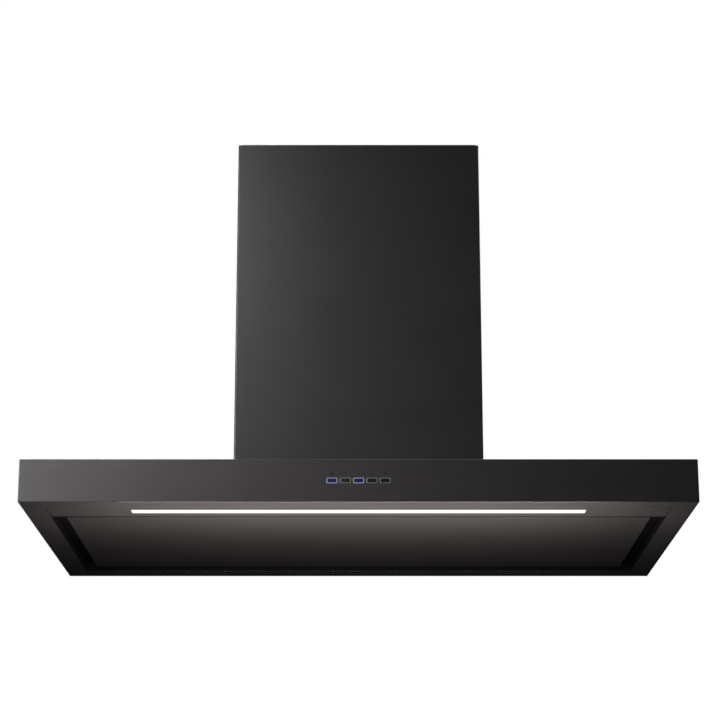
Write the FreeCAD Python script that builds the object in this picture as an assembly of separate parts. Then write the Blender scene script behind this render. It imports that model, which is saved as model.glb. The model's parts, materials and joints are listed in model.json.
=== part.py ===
import FreeCAD, Part
import math
import os

from FreeCAD import Vector

# Island range hood, 1200 x 700 mm canopy with a telescoping chimney. Millimetres.
# Origin: centre of the ceiling plate's top face. +Z up, -Y is the control side.

# ---- driving dimensions ----
CANOPY_W = 1200.0
CANOPY_D = 700.0
CANOPY_H = 78.0
TOTAL_H = 750.0
CHIMNEY_W = 464.0
CHIMNEY_D = 340.0
SHEET = 1.0
TRAVEL = 250.0  # height adjustment of the hood below the ceiling frame
OVER = 1.0  # how far a cutting tool runs past the face it cuts

# screws, bolts and their holes
BOLT_R = 3.0
BOLT_HOLE_R = 3.2
POST_HOLE_R = 3.1
BOLT_HEX = 10.0
NUT_H = 5.0
HEAD_H = 4.0
SCREW_R = 2.0
SCREW_HOLE_R = 2.1
SCREW_HEAD_R = 4.0

# canopy
BEND_R = 1.5
FLANGE_SIDE = 42.0
FLANGE_FRONT = 42.0
FLANGE_REAR = 52.0
RETURN_H = 18.0
RIM_R = 0.9  # rounding of thin sheet edges
BLOWER_OPENING = (135.0, 118.0)  # half sizes of the hole in the canopy's top

# light panel and its lamp
LIGHT_DEPTH = 78.0
LIP_H = 15.0
LIGHT_SIDE_GAP = 1.4
LIGHT_FRONT_GAP = 0.3
LIGHT_EDGE_R = 0.8
LAMP_HALF_L = 407.0
LAMP_W = 28.0
LAMP_FROM_FRONT = 78.0
LAMP_SLOT_GAP = 0.4
LAMP_SINK = 0.2
LENS_T = 1.5
PROFILE_T = 1.5
PROFILE_H = 22.0
FIN_H = 5.0
FIN_T = 1.4
FIN_PITCH = 7.0
LED_BOARD = (16.0, 1.6)  # width, thickness
LED_CHIP = 3.0
LED_CHIP_H = 0.8
LED_PITCH = 20.0
DRIVER_X = (380.0, 490.0)
DRIVER_Y = (100.0, 136.0)
DRIVER_H = 24.0
DRIVER_EAR = 12.0

# suction panel
PANEL_RECESS = 5.0
PANEL_H = 12.0
SLOT_SIDE = 24.0
SLOT_FRONT = 30.0
SLOT_REAR = 31.0
HINGE_X = 400.0
HINGE_PIN_R = 2.5
HINGE_BARREL = 24.0
HINGE_BARREL_R = 6.5
EAR_T = 3.0
EAR_R = 7.0
EAR_X = 14.5  # middle of an ear from the middle of its hinge
RUNNING_GAP = 0.05
RIB_X = 250.0
RIB_W = 24.0
RIB_H = 7.0
MAGNET_X = 350.0
MAGNET = (34.0, 14.0)
MAGNET_Y = 11.0  # behind the panel's front edge
MAGNET_GAP = 0.4
POLE_X = 9.0
POLE_W = 5.0

# filter deck and filters
DECK_Z = -712.0
FILTER_X = 175.0
FILTER_SIZE = (320.0, 250.0, 9.0)
FILTER_LAP = 8.0
FILTER_RIM = 13.0
DECK_LIP_H = 14.0
SLAT_W = 13.0
SLAT_PITCH = 21.0
SLAT_INSET = 0.6
SLAT_CURL = 3.6
HOOK_X = 100.0
HOOK_W = 24.0
HOOK_REACH = 6.0
STRIKER_W = 44.0
STRIKER_GAP = 8.0
STRIKER_LIP = 6.5
STRIKER_DROP = 7.2
LATCH_W = 30.0
LATCH_T = 2.0
LATCH_REACH = 6.0  # how far the bolt stands out of the filter
LATCH_DROP = 6.0  # underside of the bolt below the deck
GRIP = (26.0, 4.0)
GRIP_Y = 12.0
POCKET = (30.6, 38.0)
POCKET_PLATE = 42.0
POCKET_ROOF = 2.6

# frame posts
UPPER_LEG = 30.0
LOWER_LEG = 26.0
ANGLE_T = 2.0
POST_OUT = (218.0, 156.0)  # outer faces of the upper posts
POST_GAP = 0.5
UPPER_POST_L = 430.0
LOWER_POST_TOP = -100.0
CLAMP_Z = (-115.0, -155.0)
CLAMP_Y = 140.0
SLOT_R = 3.4
FOOT_T = 2.0
WASHER = (6.5, 1.2)
BRACE_T = (2.5, 2.0)  # upper bars, lower bars
UPPER_BRACE_Z = (-418.0, -398.0)
LOWER_BRACE_Z = (-195.0, -175.0)

# chimney
TELESCOPE_GAP = 3.0
CHIMNEY_BEND_R = 3.0
UPPER_CHIMNEY_L = 400.0
CEILING_GAP = 3.0
SEAM = 0.1  # half the gap between the front and rear halves
TONGUE_HALF_W = 12.0
FOOT_W = 10.0
LOUVRES = 6
LOUVRE_START = 36.0
LOUVRE_PITCH = 18.0
LOUVRE_W = 5.0
LOUVRE_Z = (-105.0, -45.0)
CHIMNEY_SCREW = (80.0, -18.0)  # Y and Z of the screws in the plate's skirt
FOOT_SCREW_X = (-150.0, 0.0, 150.0)

# ceiling plate
PLATE_T = 3.0
PLATE_SKIRT = 30.0
SKIRT_T = 2.0
SINK_R = 6.2
SINK_H = 1.6
CABLE_HOLE_R = 10.0
ANCHOR_X = 140.0
ANCHOR_Y = 120.0
ANCHOR_R = 4.5
DUCT_HOLE_R = 90.0

# blower
BOX_HALF = (141.0, 125.0)
BOX_TOP = -440.0
WHEEL_Y = -18.0
WHEEL_Z = -545.0
WHEEL_R = 76.0
WHEEL_IN_R = 62.0
WHEEL_HALF_L = 54.0
BLADES = 36
SCROLL_HALF = 64.0
SCROLL_T = 2.0
SCROLL_R = 90.0
SCROLL_STEP = 12.0
NECK_IN_Y = 8.0
TONGUE_R = 8.0
INLET_R = 60.0
INLET_FLARE = 5.0
INLET_LIP = 6.0
SHAFT_R = 4.0
SHAFT_X = (-106.0, 14.0)
WHEEL_DISC_T = 3.0
WHEEL_RING_T = 2.0
WHEEL_RING_W = 6.0
WHEEL_BOSS = (11.0, 9.0)  # radius, half length
BLADE_T = 1.2
BLADE_TILT = 24.0
MOTOR_R = 42.0
MOTOR_X = (-92.0, -16.0)
MOTOR_EDGE_R = 5.0
MOTOR_BOSS_R = 14.0
MOTOR_BOSS_X = (-101.0, -11.0)
MOTOR_VENTS = 8
VENT_W = 5.0
VENT_R = (24.0, 34.0)
BRACKET_X = (-84.0, -76.0)
BRACKET_ARM = (12.0, 4.0)  # width, thickness
BRACKET_R = (42.0, 45.0, 82.0)  # ring inside, ring outside, arm tips
CAPACITOR_R = 17.0
CAPACITOR_L = 55.0
CAPACITOR_PLACE = (19.0, 60.0, -640.0)  # from the box's wall, Y, foot
BOX_FLANGE = 12.0
NECK_GAP = 0.3

# duct outlet
DUCT_Y = 33.0
DUCT_R = 75.0
DUCT_T = 1.5
COLLAR_Z = (-395.0, -335.0)
ADAPTOR_MARGIN = (1.0, 2.6)  # inside and outside of its foot, off the scroll's neck
ADAPTOR_FLANGE = 14.0
ADAPTOR_FLANGE_T = 1.2
ROD_SEAT = 0.7  # wall left outside the flap rod's ends
STOP_TURNS = (50.0, 130.0, 230.0, 310.0)
STOP_W = 8.0
STOP_R = 70.0
STOP_Z = (-3.2, -1.2)  # below the flaps' rod
FLAP_Z = -366.0
FLAP_R = 72.0
FLAP_T = 1.0
FLAP_ROD_R = 2.5
FLAP_EDGE = 5.6  # where the disc starts, off the rod's axis
KNUCKLE_R = 4.5
KNUCKLE_L = 14.0
KNUCKLE_X = {-1: (-56.0, -24.0, 8.0, 40.0), 1: (-40.0, -8.0, 24.0)}  # 2 mm between neighbours

# electronics box
E_BOX_DEPTH = 58.0
E_BOX_Z = (-640.0, -500.0)
E_BOX_HALF_Y = 70.0
E_BOX_T = 2.0
E_BOX_R = 4.0
E_POST_R = 4.0
E_POST_L = 15.5
E_POST_Y = (-50.0, 50.0)
E_POST_Z = (-625.0, -530.0)
LID_RIBS = 7
LID_RIB_PITCH = 12.0
LID_RIB_Z = -570.0
BOARD_T = 1.6
RELAYS = 4
RELAY_W = 18.0
RELAY_PITCH = 24.0
GLAND_X = -170.0
GLAND_THREAD_R = 8.0
GLAND_HEX = 22.0
GLAND_NUT_H = 8.0
GLAND_DOME = (9.5, 12.0)
LEAD_R = 4.0

# controls
BUTTON_NAMES = ("light", "speed_1", "speed_2", "speed_3", "timer")
LIT = ("light", "speed_2")
BUTTON_PITCH = 23.5
BUTTON_TRAVEL = 1.5
BUTTON_HOLE = (20.0, 10.7, 2.6)  # width, height, corner radius
RING_OUT = (19.8, 10.5, 2.5)
RING_RIM = (22.4, 13.0, 3.0)
RING_IN = (16.4, 7.1, 1.4)
RING_PROUD = 0.3
RING_DEPTH = 6.8
CAP = (16.0, 6.7, 1.2)
CAP_PROUD = 0.6
CAP_DEPTH = 7.5
CAP_FLANGE = (18.6, 9.3, 1.6)
STEM_R = 1.5
STEM_END = 10.2  # behind the face
SWITCH = 6.0
SWITCH_H = 2.2
SWITCH_GAP = 0.3  # left over when a button is pressed home
HOUSING = (136.0, 26.0, 18.0)  # width, height, depth
HOUSING_T = 2.0
CONTROL_BOARD = (130.0, 18.0)
CHIP = (12.0, 8.0, 1.1)

# ---- levels and faces worked out from them ----
HALF_W = CANOPY_W / 2
HALF_D = CANOPY_D / 2
BOTTOM = -TOTAL_H
TOP = BOTTOM + CANOPY_H
INNER_X = HALF_W - FLANGE_SIDE
INNER_FRONT = -HALF_D + FLANGE_FRONT
INNER_REAR = HALF_D - FLANGE_REAR
LIGHT_REAR = INNER_FRONT + LIGHT_DEPTH
LAMP_Y = -HALF_D + LAMP_FROM_FRONT
PANEL_X = INNER_X - SLOT_SIDE
PANEL_FRONT = LIGHT_REAR + SLOT_FRONT
PANEL_REAR = INNER_REAR - SLOT_REAR
PANEL_Z = BOTTOM + PANEL_RECESS
HINGE_Y = PANEL_REAR - 12.0
HINGE_Z = PANEL_Z + 15.0
FILTER_TOP = DECK_Z - 1.0
FILTER_Z = FILTER_TOP - FILTER_SIZE[2]
BUTTON_Z = (TOP + BOTTOM) / 2
FACE_Y = -HALF_D
LOWER_OUT = tuple(v - ANGLE_T - POST_GAP for v in POST_OUT)
UPPER_HALF = (CHIMNEY_W / 2 - SHEET - TELESCOPE_GAP, CHIMNEY_D / 2 - SHEET - TELESCOPE_GAP)
LOWER_HALF = (CHIMNEY_W / 2, CHIMNEY_D / 2)
NECK_OUT_Y = WHEEL_Y + SCROLL_R + 3 * SCROLL_STEP
E_BOX_X = (-BOX_HALF[0] - E_BOX_DEPTH, -BOX_HALF[0])
SWITCH_Y = FACE_Y + STEM_END + BUTTON_TRAVEL + SWITCH_GAP
BUTTON_BOARD_Y = SWITCH_Y + SWITCH_H

X = Vector(1, 0, 0)
Y = Vector(0, 1, 0)
Z = Vector(0, 0, 1)


# ---- helpers ----
def box(x, y, z):
    """Box between pairs of limits."""
    return Part.makeBox(x[1] - x[0], y[1] - y[0], z[1] - z[0], Vector(x[0], y[0], z[0]))


def span(centre, size):
    """Limits of a length centred on a point."""
    return (centre - size / 2, centre + size / 2)


def shrunk(limits, margin):
    """Limits taken in by a margin at both ends."""
    return (limits[0] + margin, limits[1] - margin)


def either_way(half):
    """Limits the same distance to both sides of zero."""
    return (-half, half)


def rod(radius, start, axis, length):
    """Cylinder from a point along an axis."""
    return Part.makeCylinder(radius, length, start, axis)


def fuse(shapes):
    """One solid from shapes that meet."""
    return shapes[0].multiFuse(shapes[1:]).removeSplitter()


def cut(shape, tools):
    """Shape with the tools taken away."""
    return shape.cut(Part.makeCompound(tools)) if tools else shape


def mirror_x(shape):
    """Copy on the other side of the YZ plane."""
    return shape.mirror(Vector(0, 0, 0), X)


def both_sides(shape):
    """The shape and its copy across the YZ plane."""
    return [shape, mirror_x(shape)]


def edges_where(shape, test):
    """Edges whose two ends both pass a test."""
    return [e for e in shape.Edges if len(e.Vertexes) == 2 and all(test(v.Point) for v in e.Vertexes)]


def along(shape, axis):
    """Straight edges that run along an axis."""
    found = []
    for edge in shape.Edges:
        ends = [v.Point for v in edge.Vertexes]
        if len(ends) == 2 and abs((ends[1] - ends[0]).normalize().dot(axis)) > 0.999:
            found.append(edge)
    return found


def near(a, b):
    """Same level, within a micrometre or so."""
    return abs(a - b) < 0.001


def rounded(size, y, x):
    """Rounded rectangle (width, height, corner radius) at the buttons' level, run along Y."""
    slab = box(span(x, size[0]), y, span(BUTTON_Z, size[1]))
    return slab.makeFillet(size[2], along(slab, Y))


def hexagon(across, start, axis, length):
    """Hexagonal prism from a point along an axis."""
    side = X if abs(axis.dot(Z)) > 0.5 else Z
    up = axis.cross(side)
    radius = across / math.sqrt(3)
    turns = [math.radians(60 * i) for i in range(7)]
    ring = [start + side * (radius * math.cos(a)) + up * (radius * math.sin(a)) for a in turns]
    return Part.Face(Part.makePolygon(ring)).extrude(axis * length)


def tray(x, y, z, wall, up=True):
    """Box open at the top, or at the bottom."""
    inner_z = (z[0] + wall, z[1] + OVER) if up else (z[0] - OVER, z[1] - wall)
    return box(x, y, z).cut(box(shrunk(x, wall), shrunk(y, wall), inner_z))


# ---- canopy ----
def canopy_shell():
    """Folded canopy: top, four faces, bottom flanges and their inner returns."""
    outer = box(either_way(HALF_W), either_way(HALF_D), (BOTTOM, TOP))
    outer = outer.makeFillet(BEND_R, outer.Edges)
    cavity = box(either_way(HALF_W - SHEET), either_way(HALF_D - SHEET), (BOTTOM + SHEET, TOP - SHEET))
    rim_x, rim_y = either_way(INNER_X), (INNER_FRONT, INNER_REAR)
    mouth = box(rim_x, rim_y, (BOTTOM - OVER, BOTTOM + SHEET + OVER))
    returns = box(shrunk(rim_x, -SHEET), shrunk(rim_y, -SHEET), (BOTTOM + SHEET / 2, BOTTOM + RETURN_H))
    returns = returns.cut(box(rim_x, rim_y, (BOTTOM, BOTTOM + RETURN_H + OVER)))
    shell = fuse([outer.cut(cavity).cut(mouth), returns])
    rims = edges_where(
        shell,
        lambda p: near(p.z, BOTTOM) and near(abs(p.x), INNER_X) and INNER_FRONT - 1 < p.y < INNER_REAR + 1,
    )
    shell = shell.makeFillet(RIM_R, [e for e in rims if e.Length > HALF_D])
    drill_z, drill_l = TOP - SHEET - OVER, SHEET + 2 * OVER
    half_x, half_y = BLOWER_OPENING
    holes = [box(either_way(half_x), either_way(half_y), (drill_z, drill_z + drill_l))]
    for x in button_places():
        holes.append(rounded(BUTTON_HOLE, (FACE_Y - OVER, FACE_Y + SHEET + OVER), x))
    for x, y in lower_bolt_places():
        holes.append(rod(BOLT_HOLE_R, Vector(x, y, drill_z), Z, drill_l))
    for x, y in foot_screw_places():
        holes.append(rod(SCREW_HOLE_R, Vector(x, y, drill_z), Z, drill_l))
    return cut(shell, holes)


def light_panel():
    """Flush pan behind the front flange, with the lamp's slot."""
    x = either_way(INNER_X - LIGHT_SIDE_GAP)
    pan = tray(x, (INNER_FRONT + LIGHT_FRONT_GAP, LIGHT_REAR), (BOTTOM, BOTTOM + LIP_H), SHEET)
    rear = edges_where(pan, lambda p: near(p.z, BOTTOM) and (near(p.y, LIGHT_REAR) or near(abs(p.x), x[1])))
    pan = pan.makeFillet(LIGHT_EDGE_R, rear)
    slot = box(
        either_way(LAMP_HALF_L + LAMP_SLOT_GAP),
        span(LAMP_Y, LAMP_W + 2 * LAMP_SLOT_GAP),
        (BOTTOM - OVER, BOTTOM + SHEET + OVER),
    )
    return pan.cut(slot)


def led_diffuser():
    """Opal strip in the slot, with a shoulder that lies on the panel."""
    top = BOTTOM + SHEET + LENS_T
    lens = box(either_way(LAMP_HALF_L), span(LAMP_Y, LAMP_W), (BOTTOM + LAMP_SINK, top))
    shoulder = box(either_way(LAMP_HALF_L + 2), span(LAMP_Y, LAMP_W + 8), (BOTTOM + SHEET, top))
    return fuse([lens, shoulder])


def led_profile():
    """Channel over the diffuser, closed at its ends."""
    half = LAMP_HALF_L + 2.5 + PROFILE_T
    width = LAMP_W + 9 + 2 * PROFILE_T
    top = BOTTOM + PROFILE_H
    channel = tray(either_way(half), span(LAMP_Y, width), (BOTTOM + SHEET, top), PROFILE_T, up=False)
    fins = []
    for step in range(-2, 3):
        fins.append(box(either_way(half), span(LAMP_Y + FIN_PITCH * step, FIN_T), (top, top + FIN_H)))
    return fuse([channel] + fins)


def led_board():
    """Narrow circuit board with its row of chips."""
    top = BOTTOM + PROFILE_H - PROFILE_T
    width, thick = LED_BOARD
    strip = box(either_way(LAMP_HALF_L - 2), span(LAMP_Y, width), (top - thick, top))
    count = int((2 * LAMP_HALF_L - LED_PITCH) / LED_PITCH)
    chips = []
    for i in range(count + 1):
        x = (i - count / 2) * LED_PITCH
        z = (top - thick - LED_CHIP_H, top - thick + 0.1)
        chips.append(box(span(x, LED_CHIP), span(LAMP_Y, LED_CHIP), z))
    return fuse([strip] + chips)


def led_driver():
    """Lamp power supply on the filter deck."""
    base = DECK_Z + SHEET
    body = box(DRIVER_X, DRIVER_Y, (base, base + DRIVER_H))
    body = body.makeFillet(2.0, along(body, Z))
    ears = box(shrunk(DRIVER_X, -DRIVER_EAR), shrunk(DRIVER_Y, 8), (base, base + 2))
    y = sum(DRIVER_Y) / 2
    holes = [
        rod(BOLT_HOLE_R - 1, Vector(x, y, base - OVER), Z, 4) for x in shrunk(DRIVER_X, -DRIVER_EAR / 2)
    ]
    return cut(fuse([body, ears]), holes)


def filter_deck():
    """Plate that parts the suction space from the plenum and carries filters, hinges and magnets."""
    wall = HALF_W - SHEET
    rear = HALF_D - SHEET
    front = LIGHT_REAR
    lip_z = (DECK_Z, DECK_Z + DECK_LIP_H)
    plate = box(either_way(wall), (front, rear), (DECK_Z, DECK_Z + SHEET))
    lips = both_sides(box((wall - SHEET, wall), (front, rear), lip_z)) + [
        box(either_way(wall), (rear - SHEET, rear), lip_z),
        box(either_way(INNER_X - 2), (front, front + SHEET), (PANEL_Z, DECK_Z + SHEET)),
    ]
    length, width = FILTER_SIZE[0], FILTER_SIZE[1]
    extras = []
    tools = []
    for side in (-1, 1):
        centre = side * FILTER_X
        window_x, window_y = span(centre, length - 2 * FILTER_LAP), span(0, width - 2 * FILTER_LAP)
        tools.append(box(window_x, window_y, (DECK_Z - OVER, DECK_Z + SHEET + OVER)))
        hook_y = width / 2 + SHEET / 2
        for hook in (-HOOK_X, HOOK_X):
            x = span(centre + hook, HOOK_W)
            extras.append(box(x, (hook_y, hook_y + SHEET), (FILTER_Z - SHEET, DECK_Z)))
            extras.append(box(x, (width / 2 - HOOK_REACH, hook_y + SHEET), (FILTER_Z - SHEET, FILTER_Z)))
        striker = span(centre, STRIKER_W)
        reach = -width / 2 - STRIKER_GAP
        low = DECK_Z - STRIKER_DROP
        extras.append(box(striker, (reach - SHEET, reach), (low, DECK_Z)))
        extras.append(box(striker, (reach - SHEET, reach + STRIKER_LIP), (low, low + SHEET)))
        x = span(side * HINGE_X, HINGE_BARREL)
        extras.append(box(x, span(HINGE_Y, 10), (HINGE_Z, DECK_Z)))
        extras.append(rod(HINGE_BARREL_R, Vector(x[0], HINGE_Y, HINGE_Z), X, HINGE_BARREL))
        tools.append(rod(HINGE_PIN_R, Vector(side * HINGE_X - 20, HINGE_Y, HINGE_Z), X, 40))
    return cut(fuse([plate] + lips + extras), tools)


# ---- suction panel ----
def suction_panel():
    """Shallow pan under the filters, hinged at its rear edge."""
    y = (PANEL_FRONT, PANEL_REAR)
    pan = tray(either_way(PANEL_X), y, (PANEL_Z, PANEL_Z + PANEL_H), SHEET)
    corners = [e for e in along(pan, Z) if near(abs(e.Vertexes[0].Point.x), PANEL_X)]
    pan = pan.makeFillet(2.0, corners)
    base = [e for e in pan.Edges if near(e.BoundBox.ZMin, PANEL_Z) and near(e.BoundBox.ZMax, PANEL_Z)]
    pan = pan.makeFillet(RIM_R, base)
    floor = PANEL_Z + SHEET
    root = floor - SHEET / 2
    extras = []
    notches = []
    for side in (-1, 1):
        centre = side * HINGE_X
        notch_x = span(centre, 44)
        notches.append(box(notch_x, (PANEL_REAR - 3, PANEL_REAR + OVER), (floor + 0.5, PANEL_Z + 20)))
        for ear in (-EAR_X, EAR_X):
            x = span(centre + ear, EAR_T)
            extras.append(box(x, span(HINGE_Y, 2 * EAR_R), (root, HINGE_Z)))
            extras.append(rod(EAR_R, Vector(x[0], HINGE_Y, HINGE_Z), X, EAR_T))
            bore = Vector(x[0] - OVER, HINGE_Y, HINGE_Z)
            notches.append(rod(HINGE_PIN_R + RUNNING_GAP, bore, X, EAR_T + 2 * OVER))
        rib_x, rib_y = span(side * RIB_X, RIB_W), (PANEL_FRONT + 30, PANEL_REAR - 40)
        rib = box(rib_x, rib_y, (root, floor + RIB_H))
        hollow = box(shrunk(rib_x, SHEET), shrunk(rib_y, -OVER), (floor, floor + RIB_H - SHEET))
        extras.append(rib.cut(hollow))
        strike_z = span(PANEL_Z + PANEL_H - SHEET / 2, SHEET)
        extras.append(box(span(side * MAGNET_X, 40), (PANEL_FRONT + 0.5, PANEL_FRONT + 22), strike_z))
    return cut(fuse([pan] + extras), notches)


def panel_hinge_pins():
    """Two headed pins through the deck's brackets and the panel's ears."""
    start = HINGE_X - EAR_X - EAR_T - 0.5
    length = 2 * (EAR_X + EAR_T) + 2
    pin = rod(HINGE_PIN_R, Vector(start, HINGE_Y, HINGE_Z), X, length)
    head = rod(SCREW_HEAD_R, Vector(start + length - 1, HINGE_Y, HINGE_Z), X, 2)
    return Part.makeCompound(both_sides(fuse([pin, head])))


def panel_magnets():
    """Two magnetic catches hanging from the deck over the panel's strike plates."""
    low = PANEL_Z + PANEL_H + MAGNET_GAP
    y = span(PANEL_FRONT + MAGNET_Y, MAGNET[1])
    body = box(span(MAGNET_X, MAGNET[0]), y, (low + 1, DECK_Z))
    poles = [box(span(MAGNET_X + s * POLE_X, POLE_W), y, (low, low + 2)) for s in (-1, 1)]
    return Part.makeCompound(both_sides(fuse([body] + poles)))


# ---- grease filters ----
def grease_filter(side):
    """Framed baffle filter: two staggered rows of slats, with a pocket for its latch."""
    length, width = FILTER_SIZE[:2]
    centre = side * FILTER_X
    inner_x, inner_y = span(centre, length - 2 * FILTER_RIM), span(0, width - 2 * FILTER_RIM)
    frame = box(span(centre, length), span(0, width), (FILTER_Z, FILTER_TOP))
    pieces = [frame.cut(box(inner_x, inner_y, (FILTER_Z - OVER, FILTER_TOP + OVER)))]
    count = int((length - 2 * FILTER_RIM) / SLAT_PITCH)
    y = shrunk(inner_y, -0.5)
    low = FILTER_Z + SLAT_INSET
    high = FILTER_TOP - SLAT_INSET
    for i in range(count + 1):
        x = centre + (i - count / 2) * SLAT_PITCH
        pieces.append(box(span(x, SLAT_W), y, (low, low + SHEET)))
        if i < count:
            x += SLAT_PITCH / 2
            pieces.append(box(span(x, SLAT_W), y, (high - SHEET, high)))
            for edge in either_way((SLAT_W - SHEET) / 2):
                pieces.append(box(span(x + edge, SHEET), y, (high - SLAT_CURL, high)))
    front = -width / 2
    plate = box(span(centre, POCKET_PLATE), (front, front + POCKET_PLATE), (FILTER_Z, FILTER_TOP))
    pocket_z = (FILTER_Z - OVER, FILTER_TOP - POCKET_ROOF)
    pocket = box(span(centre, POCKET[0]), (front - OVER, front + POCKET[1]), pocket_z)
    return fuse(pieces + [plate]).cut(pocket)


def filter_latch(side):
    """Sliding bolt with a finger grip in the filter's pocket."""
    front = -FILTER_SIZE[1] / 2
    centre = side * FILTER_X
    low = DECK_Z - LATCH_DROP
    bolt = box(span(centre, LATCH_W), (front - LATCH_REACH, front + LATCH_W), (low, low + LATCH_T))
    grip_y = (front + GRIP_Y, front + GRIP_Y + GRIP[1])
    grip = box(span(centre, GRIP[0]), grip_y, (FILTER_Z - 2, low + LATCH_T / 2))
    grip = grip.makeFillet(1.2, [e for e in along(grip, X) if e.BoundBox.ZMax < low])
    return fuse([bolt, grip])


# ---- frame ----
def corner_angle(out, leg, z, side_x, side_y):
    """Angle section at one corner of the frame, heel outwards."""
    flat_x = box((out[0] - ANGLE_T, out[0]), (out[1] - leg, out[1]), z)
    flat_y = box((out[0] - leg, out[0]), (out[1] - ANGLE_T, out[1]), z)
    angle = fuse([flat_x, flat_y])
    return place_corner(angle, side_x, side_y)


def corner_foot(out, leg, z):
    """Square foot inside the angle section's two legs, at +X +Y."""
    return box((out[0] - leg, out[0]), (out[1] - leg, out[1]), z)


def place_corner(shape, side_x, side_y):
    """Move a shape made at +X +Y to one of the four corners."""
    if side_x < 0:
        shape = shape.mirror(Vector(0, 0, 0), X)
    if side_y < 0:
        shape = shape.mirror(Vector(0, 0, 0), Y)
    return shape


def upper_post(side_x, side_y):
    """Slotted angle that hangs from the ceiling plate."""
    low = -UPPER_POST_L
    angle = corner_angle(POST_OUT, UPPER_LEG, (low, -PLATE_T), 1, 1)
    foot = corner_foot(POST_OUT, UPPER_LEG, (-PLATE_T - FOOT_T, -PLATE_T))
    x = POST_OUT[0] - ANGLE_T - OVER
    width = ANGLE_T + 2 * OVER
    slot_top = CLAMP_Z[0] + 1
    slot_low = CLAMP_Z[1] - TRAVEL - 1
    slot = fuse(
        [
            rod(SLOT_R, Vector(x, CLAMP_Y, slot_top), X, width),
            rod(SLOT_R, Vector(x, CLAMP_Y, slot_low), X, width),
            box((x, x + width), span(CLAMP_Y, 2 * SLOT_R), (slot_low, slot_top)),
        ]
    )
    bolt = upper_bolt_places()[0]
    hole = rod(POST_HOLE_R, Vector(bolt[0], bolt[1], -PLATE_T - FOOT_T - OVER), Z, FOOT_T + 2 * OVER)
    return place_corner(cut(fuse([angle, foot]), [slot, hole]), side_x, side_y)


def lower_post(side_x, side_y):
    """Angle that stands on the canopy and runs inside an upper post."""
    angle = corner_angle(LOWER_OUT, LOWER_LEG, (TOP, LOWER_POST_TOP), 1, 1)
    foot = corner_foot(LOWER_OUT, LOWER_LEG, (TOP, TOP + FOOT_T))
    drill_x = LOWER_OUT[0] - 2 * ANGLE_T
    holes = [rod(POST_HOLE_R, Vector(drill_x, CLAMP_Y, z), X, 3 * ANGLE_T) for z in CLAMP_Z]
    x, y = lower_bolt_places()[0]
    holes.append(rod(BOLT_HOLE_R, Vector(x, y, TOP - OVER), Z, FOOT_T + 2 * OVER))
    return place_corner(cut(fuse([angle, foot]), holes), side_x, side_y)


def four_corners(x, y):
    """The four places with these distances from the axes."""
    return [(sx * x, sy * y) for sx in (1, -1) for sy in (1, -1)]


def upper_bolt_places():
    """Where the upper posts' feet are bolted."""
    return four_corners(POST_OUT[0] - UPPER_LEG / 2, POST_OUT[1] - UPPER_LEG / 2)


def lower_bolt_places():
    """Where the lower posts' feet are bolted."""
    return four_corners(LOWER_OUT[0] - LOWER_LEG / 2, LOWER_OUT[1] - LOWER_LEG / 2)


def foot_screw_places():
    """Where the lower chimney's foot is screwed to the canopy."""
    y = CHIMNEY_D / 2 - SHEET - FOOT_W / 2
    return [(x, sy * y) for x in FOOT_SCREW_X for sy in (-1, 1)]


def ceiling_plate():
    """Plate with a downward skirt, the duct hole, the lead's hole and four anchor holes."""
    half_x = UPPER_HALF[0] - SHEET
    half_y = UPPER_HALF[1] - SHEET
    block = box(either_way(half_x), either_way(half_y), (-PLATE_SKIRT, 0))
    block = block.makeFillet(CHIMNEY_BEND_R, along(block, Z))
    hollow = box(
        either_way(half_x - SKIRT_T), either_way(half_y - SKIRT_T), (-PLATE_SKIRT - OVER, -PLATE_T)
    )
    low, depth = -PLATE_T - OVER, PLATE_T + 2 * OVER
    holes = [
        rod(DUCT_HOLE_R, Vector(0, DUCT_Y, low), Z, depth),
        rod(CABLE_HOLE_R, Vector(GLAND_X, 0, low), Z, depth),
    ]
    for x, y in four_corners(ANCHOR_X, ANCHOR_Y):
        holes.append(rod(ANCHOR_R, Vector(x, y, low), Z, depth))
    for x, y in upper_bolt_places():
        holes.append(rod(POST_HOLE_R, Vector(x, y, low), Z, depth))
        holes.append(rod(SINK_R, Vector(x, y, -SINK_H), Z, SINK_H + OVER))
    for screw in upper_screw_axes():
        holes.append(rod(SCREW_HOLE_R, screw, X, 12))
    return cut(block.cut(hollow), holes)


def ceiling_frame_bolts():
    """Flush-headed bolts and nuts that hold the upper posts."""
    pieces = []
    nut_z = -PLATE_T - FOOT_T - NUT_H
    for x, y in upper_bolt_places():
        head = rod(SINK_R - 0.2, Vector(x, y, -SINK_H), Z, SINK_H - 0.1)
        shank = rod(BOLT_R, Vector(x, y, nut_z - 3), Z, -SINK_H - nut_z + 3.6)
        nut = hexagon(BOLT_HEX, Vector(x, y, nut_z), Z, NUT_H)
        pieces.append(fuse([head, shank, nut]))
    return Part.makeCompound(pieces)


def lower_frame_bolts():
    """Bolts that hold the lower posts to the canopy's top."""
    pieces = []
    nut_z = TOP - SHEET - NUT_H
    for x, y in lower_bolt_places():
        shank = rod(BOLT_R, Vector(x, y, nut_z - 2), Z, NUT_H + SHEET + FOOT_T + HEAD_H)
        head = hexagon(BOLT_HEX, Vector(x, y, TOP + FOOT_T), Z, HEAD_H)
        nut = hexagon(BOLT_HEX, Vector(x, y, nut_z), Z, NUT_H)
        pieces.append(fuse([shank, head, nut]))
    return Part.makeCompound(pieces)


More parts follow.
